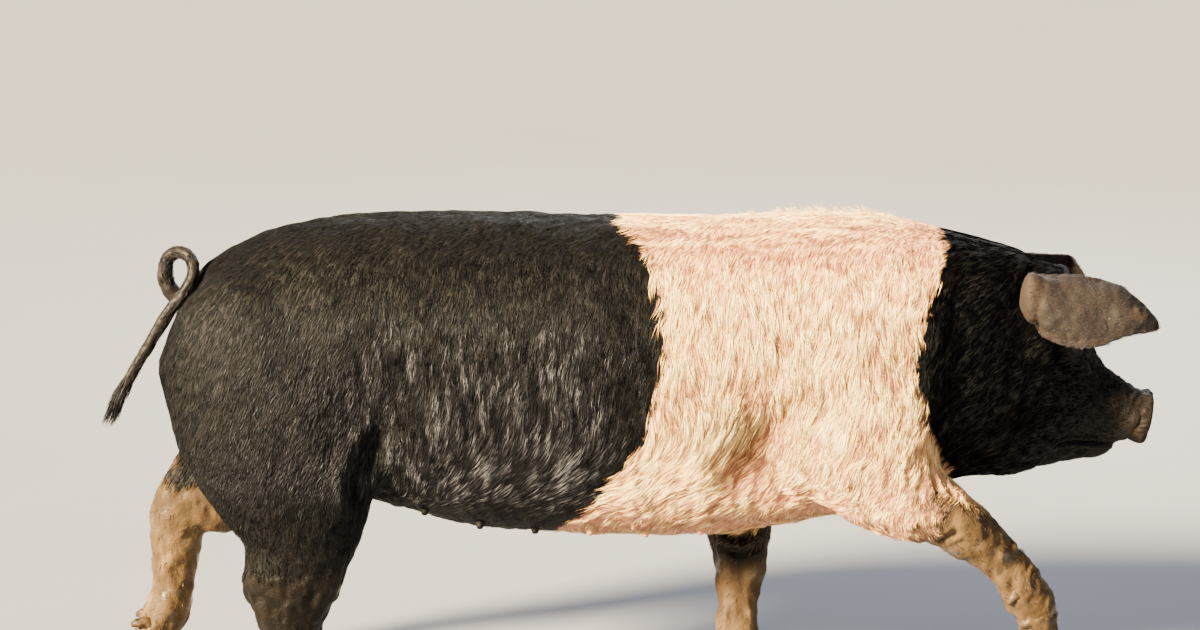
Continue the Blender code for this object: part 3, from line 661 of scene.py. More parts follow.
def mudAt(points, soft=0.016):
    # 1 where wet mud covers a leg
    index, apart = nearestLeg(points)
    x, z = points[:, 0], points[:, 2]
    broad, fine = markings["mudEdge"]
    wander = broad * mudRipple(points) + fine * mudRippleFine(points)
    mud = step(perLeg("mudFrom", index) + wander - z, -soft, soft)
    # on the raised foreleg the mud starts at an upright line before the elbow
    raised = step(x - 0.425 - 0.40 * (z - 0.300) + wander, -soft, soft) * step(z, 0.400, 0.375)
    raised *= step(0.385 - 0.6 * np.maximum(0, x - 0.44) - z, 0, 0.02)
    mud = np.where(index == 2, np.maximum(raised, mud * step(x, 0.40, 0.43)), mud)
    return mud * step(apart, 0.16, 0.11)


def ochreAndLightAt(points):
    # 0 for dark mud and painted shade, and 1 for pale ochre mud
    index, _ = nearestLeg(points)
    z = points[:, 2]
    tops, lows = perLeg("ochre", index).T
    share = np.where(index == 3, step(z, 0.205, 0.180), step(z, 0.330, 0.200))
    return np.clip(tops + (lows - tops) * share + 0.10 * mudRipple(points), 0, 1)


# Skin: hollows, muscles, folds and lumps of mud

forms = {
    # place, radii, height, on both sides
    "bulges": [
        ((0.315, -0.158, 0.600), (0.050, 0.080, 0.120), 0.0045, True),
        ((0.205, -0.180, 0.590), (0.050, 0.080, 0.110), -0.0045, True),
        ((0.288, -0.180, 0.418), (0.064, 0.060, 0.064), 0.0170, True),
        ((-0.360, -0.180, 0.480), (0.050, 0.060, 0.110), -0.0130, True),
        ((-0.420, -0.130, 0.715), (0.045, 0.045, 0.030), 0.0040, True),
        ((-0.560, -0.160, 0.560), (0.070, 0.050, 0.090), 0.0035, True),
        ((-0.150, 0.000, 0.756), (0.330, 0.016, 0.030), -0.0030, False),
        ((-0.674, 0.000, 0.540), (0.030, 0.014, 0.030), 0.0120, False),
        ((0.470, -0.120, 0.640), (0.040, 0.060, 0.060), -0.0040, True),
        ((0.540, -0.118, 0.470), (0.060, 0.050, 0.060), 0.0050, True),
    ],
    # places along the line, width, depth
    "creases": [
        ([(0.432, -0.150, 0.420), (0.428, -0.152, 0.388), (0.443, -0.150, 0.350)], 0.0055, 0.0050),
        ([(0.452, -0.145, 0.408), (0.456, -0.150, 0.372), (0.470, -0.150, 0.345)], 0.0050, 0.0035),
        ([(0.414, -0.155, 0.402), (0.408, -0.158, 0.370), (0.420, -0.155, 0.340)], 0.0050, 0.0030),
        ([(0.448, -0.150, 0.285), (0.462, -0.160, 0.300), (0.480, -0.160, 0.312)], 0.0055, 0.0045),
        (
            [
                (0.500, -0.130, 0.640), (0.476, -0.140, 0.560),
                (0.484, -0.140, 0.480), (0.515, -0.110, 0.410),
            ],
            0.018, 0.0034,
        ),
        ([(0.528, -0.125, 0.600), (0.512, -0.135, 0.540), (0.520, -0.130, 0.470)], 0.013, 0.0016),
        (
            [
                (-0.372, -0.180, 0.470), (-0.384, -0.180, 0.425),
                (-0.398, -0.175, 0.375), (-0.395, -0.150, 0.335),
            ],
            0.015, 0.0120,
        ),
        ([(-0.640, -0.105, 0.420), (-0.585, -0.170, 0.330), (-0.545, -0.180, 0.300)], 0.010, 0.0030),
        ([(0.120, 0.040, 0.250), (0.165, 0.030, 0.238), (0.215, 0.045, 0.252)], 0.006, 0.0045),
        ([(0.118, 0.045, 0.224), (0.165, 0.035, 0.214), (0.212, 0.050, 0.226)], 0.005, 0.0035),
    ],
    "bothSides": (4, 5, 6),  # creases that the far side has as well
    # height and x of the arm's rear edge, and the depth of the hollow behind it
    "armEdge": [
        (0.335, 0.238), (0.366, 0.220), (0.410, 0.207), (0.447, 0.214), (0.478, 0.234), (0.530, 0.268),
    ],
    "armHollow": 0.030,
    # the mouth, its corner and the jowl, in the head's axes: places, width, depth
    "faceCreases": [
        (flesh["mouth"], 0.0032, 0.0050),
        ([(0.112, 0.066, -0.070), (0.090, 0.085, -0.060), (0.070, 0.095, -0.040)], 0.006, 0.0030),
        ([(0.118, 0.065, -0.084), (0.090, 0.080, -0.100), (0.050, 0.085, -0.125)], 0.008, 0.0035),
    ],
    "snoutFold": 0.0008,
    "foldSpacing": 0.0150,
    "mudLump": 0.0022,
}


def hollowAt(points):
    # 1 right behind the arm, less and less towards the ribs
    x, y, z = points.T
    behind = np.interp(z, *np.array(forms["armEdge"]).T) - x
    hollow = step(behind, -0.013, 0.013) * step(behind, 0.130, 0.013)
    return hollow * step(z, 0.325, 0.395) * step(z, 0.535, 0.445) * step(np.abs(y), 0.08, 0.13)


def crease(points, move, line, width, depth):
    # a sunk line with a low swelling on either side
    apart = np.full(len(points), 9.0)
    ends = np.ones(len(points))
    line = np.array(line)
    for i, (a, b) in enumerate(zip(line, line[1:])):
        t, here = toSegment(points, a, b)
        closer = here < apart
        apart[closer] = here[closer]
        run = (i + t[closer]) / (len(line) - 1)
        ends[closer] = step(run, 0, 0.25) * step(run, 1, 0.75)
    r = apart / width
    move += depth * ends * (0.45 * np.exp(-((r - 1.9) ** 2) * 1.6) - np.exp(-r * r))


def onSkin(tree, line, steps=6):
    return [np.array(tree.find_nearest(Vector(p))[0]) for p in smoothRows(line, steps)]


def sculptForms(skin):
    tree = treeOf(skin.data)
    points, out = surface(skin.data)
    move = np.zeros(len(points)) - flesh["coatDepth"]
    for place, radii, height, both in forms["bulges"]:
        for turn in (1, -1) if both else (1,):
            middle = np.array(place) * (1, turn, 1)
            move += height * np.exp(-(((points - middle) / radii) ** 2).sum(1))
    for k, (line, width, depth) in enumerate(forms["creases"]):
        crease(points, move, onSkin(tree, line), width, depth)
        if k in forms["bothSides"]:
            mirrored = [(x, -y, z) for x, y, z in line]
            crease(points, move, onSkin(tree, mirrored), width, depth)
    move -= forms["armHollow"] * hollowAt(points)
    # the coat thins out towards the nose
    ahead, across, height = headAxesOf(points)
    move += 0.0016 * step(ahead, 0.11, 0.19)
    # folds over the snout, closer towards the nose
    top = step(out @ headUp, -0.25, 0.45)
    bend = ahead + 0.25 * np.abs(across) ** 1.2 + 0.0028 * Ripple(11, 0.035)(points)
    folds = np.cos(2 * math.pi * bend / forms["foldSpacing"])
    folds *= np.clip(0.75 + 0.6 * Ripple(17, 0.03)(points), 0.1, 1.4)
    move += forms["snoutFold"] * folds * top * step(ahead, 0.115, 0.15) * step(ahead, 0.225, 0.212)
    for turn in (-1, 1):
        for line, width, depth in forms["faceCreases"]:
            places = [headPoint(a, turn * c, h) for a, c, h in line]
            crease(points, move, onSkin(tree, places), width, depth)
    # small unevenness all over, more on the neck and cheeks
    move += 0.0009 * Ripple(12, 0.06)(points) * step(points[:, 0], -0.75, -0.4)
    move += 0.0006 * Ripple(13, 0.022)(points)
    # mud lies in lumps
    mud = mudAt(points, 0.024)
    runs = points * (1, 1, 0.45)
    lumps = 0.55 * Ripple(14, 0.038)(runs) + 0.30 * Ripple(15, 0.016)(runs)
    lumps = np.maximum(lumps, -0.5) + 0.5 * np.maximum(Ripple(16, 0.024)(runs) - 0.7, 0)
    move += mud * forms["mudLump"] * (0.2 + lumps)
    pushOut(skin.data, move)


sculptForms(skin)
thinOut(skin)
print("skin thinned:", len(skin.data.polygons), "faces")
skinPoints, skinNormals = surface(skin.data)
skinTree = treeOf(skin.data)
print("skin shaped")


def bareAndShadeAt(points, out):
    # where skin shows through the hair: behind the arm, under the belly, round the nose; behind the arm it
    # also paints shade in the hollow
    wrist = np.exp(-(((points - (0.448, -0.13, 0.385)) / (0.032, 0.07, 0.055)) ** 2).sum(1))
    belly = step(-out[:, 2], 0.25, 0.8) * step(points[:, 2], 0.45, 0.34)
    nose = step(headAxesOf(points)[0], 0.17, 0.22)
    return np.clip(0.85 * hollowAt(points) + 0.4 * wrist + 0.8 * belly + nose, 0, 1)


def paintSkin(mesh):
    points, out = surface(mesh)
    # the skin's own edges lie a little inside those of the hair
    store(mesh, "white", np.minimum(whiteAt(points + (0.006, 0, 0)), whiteAt(points - (0.002, 0, 0))))
    store(mesh, "mud", mudAt(points, 0.022))
    store(mesh, "ochre", ochreAndLightAt(points))
    store(mesh, "bare", bareAndShadeAt(points, out))
    store(mesh, "noseward", step(headAxesOf(points)[0], 0.12, 0.23))


def skinFinish():
    paint = Paint("skin", Coat_Roughness=0.10, Specular_IOR_Level=0.12)
    white, mud, bare = paint.stored("white"), paint.stored("mud"), paint.stored("bare")
    place = paint.place()
    broad, mottle = paint.noise(place, 11, 4), paint.noise(place, 70, 5, 0.6)
    grain, pores = paint.noise(place, 420, 3, 0.6), paint.noise(place, 1100, 2)
    down = paint.noise(paint.stretched((1, 1, 0.12)), 520, 2, 0.6)
    pink = paint.ramp(
        mottle, (0.3, (0.46, 0.20, 0.10)), (0.52, (0.60, 0.30, 0.17)), (0.72, (0.72, 0.42, 0.27))
    )
    # bare skin is darker and more mauve; behind the arm this is painted shade in the hollow
    pink = paint.mixed(bare * 0.8, pink, (0.38, 0.165, 0.130))
    dark = paint.ramp(
        broad,
        (0.32, (0.0014, 0.0014, 0.0016)), (0.55, (0.0023, 0.0022, 0.0024)), (0.75, (0.0042, 0.0036, 0.0034)),
    )
    # paler brown towards the nose: partly the snout's own skin, partly painted sheen
    dark = paint.mixed(paint.stored("noseward") * 0.8, dark, (0.0085, 0.0062, 0.0047))
    coloured = paint.mixed(white, dark, pink)
    wetness = paint.mask(paint.noise(place, 38, 3), 0.50, 0.66)
    flow = paint.noise(paint.stretched((1, 1, 0.4)), 36, 3, 0.55)
    washed = broad * 0.4 + flow * 0.6
    pale = paint.ramp(
        washed,
        (0.34, (0.036, 0.0205, 0.008)), (0.50, (0.072, 0.0420, 0.0170)), (0.68, (0.155, 0.0980, 0.0430)),
    )
    # the dark mud is made darker still as painted shade
    deep = paint.ramp(
        washed,
        (0.36, (0.0012, 0.0009, 0.0007)), (0.52, (0.0025, 0.0017, 0.0011)), (0.68, (0.006, 0.0038, 0.0022)),
    )
    # the mud is darker where shade is painted: all over the near hind leg and on the far foreleg's top
    ochre = paint.stored("ochre")
    soil = paint.mixed(ochre, deep, pale)
    cover = paint.mask(mud + (mottle - 0.5) * 0.5, 0.12, 0.72)
    colour = paint.mixed(cover, coloured, soil)
    dry = 0.60 + (grain - 0.5) * 0.25
    rough = dry * (1 - cover) + cover * (0.56 - wetness * 0.30)
    clods = paint.noise(place, 150, 3, 0.6)
    hide = down * 0.5 + grain * 0.45 + pores * 0.2
    mire = flow * 0.8 + clods * 0.9 + grain * 0.12
    height = hide * (1 - cover) + mire * cover
    return paint.finish(colour, rough, height, 0.0016, coat=cover * wetness * (0.05 + 0.65 * ochre))


paintSkin(skin.data)
skinNodes = ["torso", "neck", "head", "lower_jaw"]
for legName in legs:
    skinNodes += [f"{legName}_{length}" for length in ("upper", "lower", "foot")]
skinMaterial = skinFinish()
takeOver(skin, "black_coat", skinNodes, skinMaterial)
print("skin painted")


# Eyes: ball, iris and lids in the places of the CAD eyes

eyes = {
    "radius": 0.0134,
    "opening": (0.0102, 0.0050, 0.0040),  # half length, upper and lower height
    "lidReach": (0.027, 0.021),
    "lidThick": 0.0019,
    # shares of the way from the opening to the face, and places round the eye
    "lidShares": [0.0, 0.04, 0.09, 0.15, 0.22, 0.30, 0.38, 0.46, 0.55, 0.65, 0.76, 0.88, 1.0],
    "around": 56,
}


def eyeCentre(node):
    low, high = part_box(node)
    return np.array((low + high) / 2) - (packShift, 0, 0)


def eyeAxes(node, turn):
    centre = eyeCentre(node)
    face = skinTree.find_nearest(Vector(centre))[1]
    out = unit(np.array(face) + sideways * turn * 0.6)
    along = unit(headForward - out * headForward.dot(out))
    up = np.cross(out, along)
    return centre, out, along, up if up[2] > 0 else -up


def eyeball(name, turn):
    centre, out, along, up = eyeAxes(name, turn)
    rings = []
    for k in range(1, 40):
        angle = math.pi * k / 40
        radius = eyes["radius"] * math.sin(angle)
        # the clear front swells a little over the iris
        swell = 0.0008 * math.exp(-((angle / 0.42) ** 2))
        place = centre + out * ((eyes["radius"] + swell) * math.cos(angle))
        rings.append(section(place, along, up, radius, radius, radius, points=40))
    obj = loft(name + "_ball", rings)
    points = coordinates(obj.data) - centre
    ahead = points @ out
    away = np.linalg.norm(points - np.outer(ahead, out), axis=1)
    store(obj.data, "fromPupil", away + 9 * (ahead < 0))  # far from it on the back of the ball
    store(obj.data, "round", np.arctan2(points @ up, points @ along))
    return obj


def eyeFinish():
    paint = Paint("eye", Roughness=0.08, Coat_Weight=1.0, Coat_Roughness=0.02)
    away, spin = paint.stored("fromPupil"), paint.stored("round")
    around = paint.node("CombineXYZ", {}, {0: away * 60, 1: spin * 4})
    fibres = paint.noise(around, 5, 3)
    iris = paint.ramp(
        fibres, (0.35, (0.016, 0.008, 0.005)), (0.6, (0.045, 0.021, 0.010)), (0.75, (0.080, 0.042, 0.019))
    )
    white = paint.ramp(paint.noise(paint.place(), 300), (0.4, (0.16, 0.10, 0.080)), (0.6, (0.26, 0.19, 0.16)))
    inner = paint.mixed(paint.mask(away, 0.0029, 0.0034), (0.003, 0.002, 0.002), iris)
    colour = paint.mixed(paint.mask(away, 0.0066, 0.0076), inner, white)
    return paint.finish(colour, 0.08)


def eyelids(name, turn):
    centre, out, along, up = eyeAxes(name.replace("lids", "eye"), turn)
    half, above, below = eyes["opening"]
    radius = eyes["radius"] + 0.0004
    topRings, backRings = [], []
    for s in eyes["lidShares"]:
        front, back = [], []
        for k in range(eyes["around"]):
            angle = 2 * math.pi * k / eyes["around"]
            c, sn = math.cos(angle), math.sin(angle)
            inner = np.array((half * c, (above if sn > 0 else below) * sn))
            outer = np.array((eyes["lidReach"][0] * c, eyes["lidReach"][1] * sn))
            q = inner + (outer - inner) * s
            flat = centre + along * q[0] + up * q[1]
            onBall = math.sqrt(max(0.0, radius**2 - q @ q)) if q @ q < radius**2 else 0.0
            hit = skinTree.ray_cast(Vector(flat + out * 0.05), Vector(-out))[0]
            onFace = (np.array(hit) - flat) @ out if hit is not None else onBall
            share = step(np.float64(s), 0.12, 0.92)
            lid = max(onBall, onFace * 0.5) + eyes["lidThick"]
            fold = 0.0011 * math.cos(2 * math.pi * (s - 0.10) / 0.27) * math.sin(math.pi * s)
            rise = lid * (1 - share) + (onFace + 0.0006) * share + fold * (1.15 if sn > 0 else 0.7)
            if s == 0:
                rise = onBall + 0.0003
            elif s < 0.05:
                rise = onBall + 0.7 * eyes["lidThick"]
            rise -= 0.0030 * (s > 0.95)
            front.append(flat + out * rise)
            back.append(flat + out * (min(rise, onFace) - 0.004))
        topRings.append(np.array(front))
        backRings.append(np.array(back))
    obj = loft(name, topRings + backRings[::-1], closed=True)
    paintSkin(obj.data)
    return obj


# Nose: the disc with its rolled rim, pits and fine wrinkles, fused on its own grid

nose = {
    "tilt": math.radians(11),
    "place": (0.2455, 0, 0.0042),
    "half": (0.0435, 0.0405),
    # ahead of the face of the disc, scale
    "levels": [
        (-0.036, 0.84), (-0.026, 0.89), (-0.018, 0.925), (-0.0145, 0.955), (-0.011, 0.985),
        (-0.007, 1.005), (-0.0035, 1.0), (-0.001, 0.96), (0.0, 0.90), (-0.0012, 0.80),
        (-0.0018, 0.60), (-0.0012, 0.30), (-0.001, 0.08),
    ],
    "nostrilSpread": 0.0165,
    "nostrilHeight": 0.002,
    "nostril": (0.020, 0.0078, 0.0098),
    "grid": 0.0012,
}


def noseAxes():
    tilt = nose["tilt"]
    forward = np.array((math.cos(tilt), 0, -math.sin(tilt)))
    return headPoint(*nose["place"]), forward, np.array((math.sin(tilt), 0, math.cos(tilt)))


def buildNose():
    centre, forward, up = noseAxes()
    rings = []
    for ahead, scale in smoothRows(nose["levels"], 3):
        half, rise = nose["half"][0] * scale, nose["half"][1] * scale
        spot = centre + forward * ahead
        rings.append(section(spot, sideways, up, half, rise, rise, 2.4, 0.06, 72))
    disc = loft("nose", rings)
    for turn in (-1, 1):
        spot = centre + up * nose["nostrilHeight"] + sideways * turn * nose["nostrilSpread"]
        hole = ball(spot, nose["nostril"], nose["tilt"])
        modified(disc, ("BOOLEAN", {"operation": "DIFFERENCE", "solver": "EXACT", "object": hole}))
        bpy.data.objects.remove(hole, do_unlink=True)
    modified(disc, voxels(nose["grid"]), smoothing(4))
    points, out = surface(disc.data)
    local = points - centre
    across, height, ahead = local[:, 1], local @ up, local @ forward
    facing = step(out @ forward, 0.5, 0.9)
    # a groove down the middle, a rim round each nostril, wrinkles round the sides
    move = -0.0016 * np.exp(-((across / 0.0035) ** 2)) * facing * step(height, -0.034, -0.01)
    _, wide, tall = nose["nostril"]
    rise = (height - nose["nostrilHeight"]) / tall
    pits = [np.hypot((across - turn * nose["nostrilSpread"]) / wide, rise) for turn in (-1, 1)]
    for far in pits:
        move += 0.0015 * np.exp(-(((far - 1.35) / 0.28) ** 2)) * facing
    spin = np.arctan2(height, across)
    wrinkle = np.cos(34 * spin + 2.2 * Ripple(21, 0.02)(points)) * (1 - facing)
    move += 0.00045 * wrinkle * step(ahead, -0.030, -0.014)
    move += 0.00012 * Ripple(22, 0.0055)(points) + 0.0005 * Ripple(23, 0.018)(points)
    pushOut(disc.data, move)
    store(disc.data, "facing", facing * step(np.abs(ahead), 0.012, 0.003))
    # where the nostril pits are painted near black as shade
    deep = np.maximum(*(step(far, 1.15, 0.85) for far in pits))
    store(disc.data, "deep", deep * step(ahead, 0.0, -0.004))
    return disc


def noseFinish():
    paint = Paint("noseSkin", Coat_Roughness=0.25, Specular_IOR_Level=0.08)
    place = paint.place()
    cells = paint.node("TexVoronoi", {"feature": "DISTANCE_TO_EDGE"}, {"Vector": place, "Scale": 520})
    broad, grain = paint.noise(place, 45, 4), paint.noise(place, 900, 3)
    colour = paint.ramp(
        broad,
        (0.30, (0.0030, 0.0022, 0.0018)), (0.50, (0.0052, 0.0037, 0.0029)), (0.68, (0.010, 0.0066, 0.0046)),
    )
    soil = paint.mask(paint.noise(place, 60, 3), 0.58, 0.72)
    colour = paint.mixed(soil * 0.3, colour, (0.024, 0.014, 0.007))
    # near black inside the nostrils: painted shade
    colour = paint.mixed(paint.stored("deep"), colour, (0.003, 0.002, 0.002))
    height = paint.mask(cells, 0.0, 0.14) * 0.6 + grain * 0.3
    facing = paint.stored("facing")
    rough = 0.50 - 0.16 * facing + (grain - 0.5) * 0.25
    return paint.finish(colour, rough, height, 0.0003, coat=0.08 * facing)


takeOver(buildNose(), "nose_skin", ["snout"], noseFinish())
eyeMaterial = eyeFinish()
for side, turn in (("right", -1), ("left", 1)):
    takeOver(eyeball(f"eye_{side}", turn), "eye", [f"eye_{side}"], eyeMaterial)
    takeOver(eyelids(f"lids_{side}", turn), "black_coat", (), skinMaterial)
print("nose and eyes made")


# Ears: thin cupped leaves with a rolled rim and raised veins, and a round lobe at the root

ears = {
    "thick": 0.0062,
    "leftDroop": 0.050,
    "fold": (0.662, 0.712),  # where the left ear falls by its droop
    # upper edge, lower edge, bulge
    "rows": [
        (0.590, -0.045, 0.670, 0.592, -0.072, 0.612, 0.010),
        (0.586, -0.066, 0.676, 0.588, -0.104, 0.606, 0.020),
        (0.600, -0.076, 0.678, 0.597, -0.128, 0.594, 0.024),
        (0.629, -0.078, 0.676, 0.632, -0.142, 0.581, 0.022),
        (0.668, -0.084, 0.674, 0.674, -0.148, 0.583, 0.018),
        (0.708, -0.094, 0.664, 0.714, -0.144, 0.596, 0.013),
        (0.742, -0.104, 0.642, 0.746, -0.130, 0.601, 0.007),
        (0.766, -0.110, 0.616, 0.768, -0.118, 0.602, 0.002),
    ],
    "lobe": ((0.5855, -0.101, 0.645), (0.0190, 0.0230, 0.0385)),  # place and radii
    # a swelling where the lobe runs into the leaf, and the reach and rounds of its smoothing
    "filling": (0.602, -0.098, 0.654),
    "fillingRadii": (0.024, 0.019, 0.020),
    "seam": (0.042, 0.024),
    "seamRounds": 150,
    "across": 30,
    "perSpan": 8,
    "grid": 0.0016,
    "veins": [(0.28, 0.02), (0.46, 0.10), (0.64, 0.05), (0.80, 0.12)],  # place across, how far it wanders
}


def blurred(mesh, values, rounds=5):
    # evens out values over neighbouring points
    a, b = readAll(mesh.edges, "vertices", 2, int).T
    size = len(values)
    near = np.bincount(a, minlength=size) + np.bincount(b, minlength=size)
    for _ in range(rounds):
        total = np.bincount(a, values[b], size) + np.bincount(b, values[a], size)
        values = 0.5 * values + 0.5 * total / near
    return values


def earLeaf(turn, droop):
    t = np.arange(ears["across"] + 1) / ears["across"]
    rows = smoothRows(ears["rows"], ears["perSpan"])
    rings = []
    for j, row in enumerate(rows):
        run = j / (len(rows) - 1)
        upper, lower, bulge = row[:3], row[3:6], row[6]
        across = lower - upper
        out = unit(np.cross((1, 0, -0.15), across))
        out = -out if out[1] > 0 else out
        thick = min(ears["thick"], 0.35 * np.linalg.norm(across)) * (0.35 + 0.65 * np.sin(math.pi * t) ** 0.7)
        # the lower rim rolls under
        roll = -0.0042 * np.exp(-(((t - 1) / 0.06) ** 2)) * math.sin(math.pi * min(1, run * 1.1)) ** 0.5
        middle = upper + np.outer(t, across) + np.outer(bulge * 4 * t * (1 - t) + roll, out)
        half = np.outer(thick / 2, out)
        ring = np.concatenate([middle + half, (middle - half)[::-1]])
        fall = droop * step(ring[:, 0], *ears["fold"])
        rings.append((ring - np.outer(fall, (0, 0, 1))) * (1, turn, 1))
    return loft("leaf", rings)


def buildEar(side, turn, droop):
    # leaf and lobe fused on a fine grid; veins, rim and shares of the leaf laid on after
    leaf = earLeaf(turn, droop)
    leafTree = treeOf(leaf.data)
    place, radii = np.array(ears["lobe"])
    place, filling = place * (1, turn, 1), np.array(ears["filling"]) * (1, turn, 1)
    ear = joined(f"ear_{side}_leaf", [leaf, ball(place, radii), ball(filling, ears["fillingRadii"])])
    modified(ear, voxels(ears["grid"]), smoothing(5))
    apart = np.linalg.norm(coordinates(ear.data) - filling - (0, 0, 0.003), axis=1)
    weigh(ear, "seam", step(apart, *ears["seam"]))
    mesh = modified(ear, smoothing(ears["seamRounds"], "seam")).data
    points, out = surface(mesh)
    face = np.array([leafTree.find_nearest(p)[2] for p in points.tolist()])
    per = 2 * (ears["across"] + 1)
    spans = ears["perSpan"] * (len(ears["rows"]) - 1)
    face = np.minimum(face, spans * per - 1)
    run, k = face // per / spans, face % per
    inside = (k > ears["across"]).astype(float)
    across = np.where(inside > 0, per - 1 - k, k) / ears["across"]
    inside *= step(np.linalg.norm(points - filling, axis=1), 0.024, 0.036)
    inside *= step(turn * out[:, 1], -0.15, 0.25)
    run, across, inside = (blurred(mesh, values) for values in (run, across, inside))
    lobe = step(np.linalg.norm((points - place) / radii, axis=1), 1.6, 0.9)
    relief = 0.0011 * np.exp(-(((across - 0.95) / 0.035) ** 2))
    relief += 0.0006 * np.exp(-(((across - 0.04) / 0.03) ** 2))
    for middle, wander in ears["veins"]:
        path = middle + wander * np.sin(5 * run + 9 * middle) * 0.5
        relief += 0.0006 * np.exp(-(((across - path) / 0.024) ** 2)) * (1 - run) ** 0.6
    relief = relief * (1 - inside) * (1 - lobe)
    relief = relief + 0.0009 * Ripple(31, 0.05)(points) + 0.0003 * Ripple(32, 0.018)(points)
    pushOut(mesh, relief)
    for name, values in (("run", run), ("across", across), ("inside", inside), ("lobe", lobe)):
        store(mesh, name, values)
    return ear


def earFinish():
    paint = Paint("earSkin", Specular_IOR_Level=0.08)
    place = paint.place()
    run, across, inside, lobe = (paint.stored(name) for name in ("run", "across", "inside", "lobe"))
    broad, mottle = paint.noise(place, 18, 3), paint.noise(place, 130, 5, 0.6)
    down = paint.noise(paint.stretched((0.10, 1, 1)), 700, 2, 0.6)
    colour = paint.ramp(
        broad * 0.85 + mottle * 0.15,
        (0.34, (0.0098, 0.0074, 0.0067)), (0.50, (0.0125, 0.0095, 0.0086)), (0.66, (0.0160, 0.0122, 0.0108)),
    )
    # a paler patch by the tip, a paler rim, and a paler lobe that is painted light
    fromTip, fromMiddle = run - 0.80, across - 0.60
    away = fromTip * fromTip * 110 + fromMiddle * fromMiddle * 12
    patch = paint.mask(1 - away + (mottle - 0.5) * 0.6, 0.30, 1.0)
    colour = paint.mixed(patch * 0.5, colour, (0.060, 0.041, 0.024))
    rim = paint.mask(across, 0.88, 0.97)
    colour = paint.mixed(rim * 0.4, colour, (0.042, 0.028, 0.021))
    # the paler lobe is painted light
    colour = paint.mixed(lobe * (0.1 + mottle * 0.5), colour, (0.045, 0.031, 0.020))
    specks = paint.mask(paint.noise(place, 210, 1), 0.800, 0.812)
    colour = paint.mixed(specks * 0.8, colour, (0.40, 0.36, 0.30))
    # the inner face is darker: painted shade
    inner = paint.mask(inside, 0.75, 1.0) * paint.mask(1 - run, 0.05, 0.25)
    colour = paint.mixed(inner * 0.8, colour, (0.0075, 0.0052, 0.0046))
    rough = 0.62 + (mottle - 0.5) * 0.3
    return paint.finish(colour, rough, down * 0.7 + mottle * 0.3, 0.0006)


earMaterial = earFinish()
earPieces = {}
for side, turn, droop in (("right", 1, 0.0), ("left", -1, ears["leftDroop"])):
    earPieces[side] = takeOver(buildEar(side, turn, droop), "ear_skin", [f"ear_{side}"], earMaterial)
print("ears made")


# Tail: a round wrinkled cord of skin, curled once

tail = {
    # x, y, z, radius
    "rows": [
        (-0.640, 0.000, 0.600, 0.016), (-0.675, 0.000, 0.618, 0.015),
        (-0.697, 0.002, 0.644, 0.013), (-0.698, 0.000, 0.678, 0.011),
        (-0.681, -0.010, 0.696, 0.0098), (-0.660, -0.024, 0.692, 0.0094),
        (-0.652, -0.040, 0.672, 0.0094), (-0.663, -0.050, 0.646, 0.0096),
        (-0.690, -0.052, 0.611, 0.0098), (-0.717, -0.050, 0.568, 0.0094),
        (-0.741, -0.048, 0.528, 0.0086), (-0.762, -0.046, 0.492, 0.0084),
        (-0.771, -0.044, 0.474, 0.0066), (-0.776, -0.043, 0.464, 0.0030),
    ],
    "around": 28,
    "shortHairs": 1500,
    "switchHairs": 420,
    "switchFrom": 10.4,
    "switchLength": (0.022, 0.040),
    "switchWidth": 0.0011,
}


def buildTail():
    rows = smoothRows(tail["rows"], 14)
    count = np.arange(len(rows))
    fade = np.clip(count / 40, 0, 1)
    rows[:, 3] *= 1 + 0.016 * np.sin(count * 1.15 + 1.5 * np.sin(count * 0.21)) * fade
    rows[:, 3] -= 0.0007
    obj = loft("tail_cord", tubeRings(rows, tail["around"]))
    points = coordinates(obj.data)
    pushOut(obj.data, 0.0002 * Ripple(41, 0.010)(points) + 0.0004 * Ripple(42, 0.025)(points))
    store(obj.data, "run", np.repeat(count / count[-1], tail["around"]))
    return obj


def tailFinish():
    paint = Paint("tailSkin", Specular_IOR_Level=0.12)
    place = paint.place()
    broad, mottle = paint.noise(place, 40, 4), paint.noise(place, 240, 4)
    colour = paint.ramp(
        broad,
        (0.30, (0.0060, 0.0048, 0.0043)), (0.5, (0.0092, 0.0074, 0.0065)), (0.72, (0.0145, 0.0116, 0.0100)),
    )
    colour = paint.mixed(paint.mask(1 - paint.stored("run"), 0.78, 0.92), colour, (0.0060, 0.0050, 0.0044))
    return paint.finish(colour, 0.5 + (mottle - 0.5) * 0.3, mottle, 0.0007)


takeOver(buildTail(), "black_coat", ["tail"], tailFinish())
print("tail made")


# Claws: two horn claws and two dewclaws on each foot, ringed with growth and muddy

claws = {
    "spread": 0.0172,
    "around": 40,
    # height, front, back, half width
    "levels": [
        (0.0000, 0.0325, 0.0200, 0.0130), (0.0008, 0.0350, 0.0222, 0.0145), (0.0030, 0.0362, 0.0232, 0.0151),
        (0.0080, 0.0354, 0.0236, 0.0155), (0.0140, 0.0340, 0.0240, 0.0158), (0.0200, 0.0322, 0.0246, 0.0158),
        (0.0260, 0.0300, 0.0250, 0.0156), (0.0310, 0.0278, 0.0252, 0.0153), (0.0350, 0.0252, 0.0248, 0.0147),
        (0.0380, 0.0200, 0.0200, 0.0120),
    ],
    "dewRows": [
        (-0.012, 0.017, 0.076, 0.0070), (-0.020, 0.020, 0.070, 0.0085), (-0.036, 0.024, 0.062, 0.0090),
        (-0.044, 0.026, 0.050, 0.0075), (-0.047, 0.027, 0.039, 0.0035),
    ],
}


def clawRing(leg, turn, height, front, back, half):
    ring = []
    for k in range(claws["around"]):
        angle = 2 * math.pi * k / claws["around"]
        c, s = math.cos(angle), math.sin(angle)
        ahead = c * (front if c > 0 else back)
        inward = s * half * (1 - 0.38 * max(0, c) ** 2)
        if s * turn < 0:
            inward = max(-half * 0.86, min(half * 0.86, inward * 1.15))
        ring.append(footPoint(leg, ahead, turn * claws["spread"] + inward, height))
    return np.array(ring)


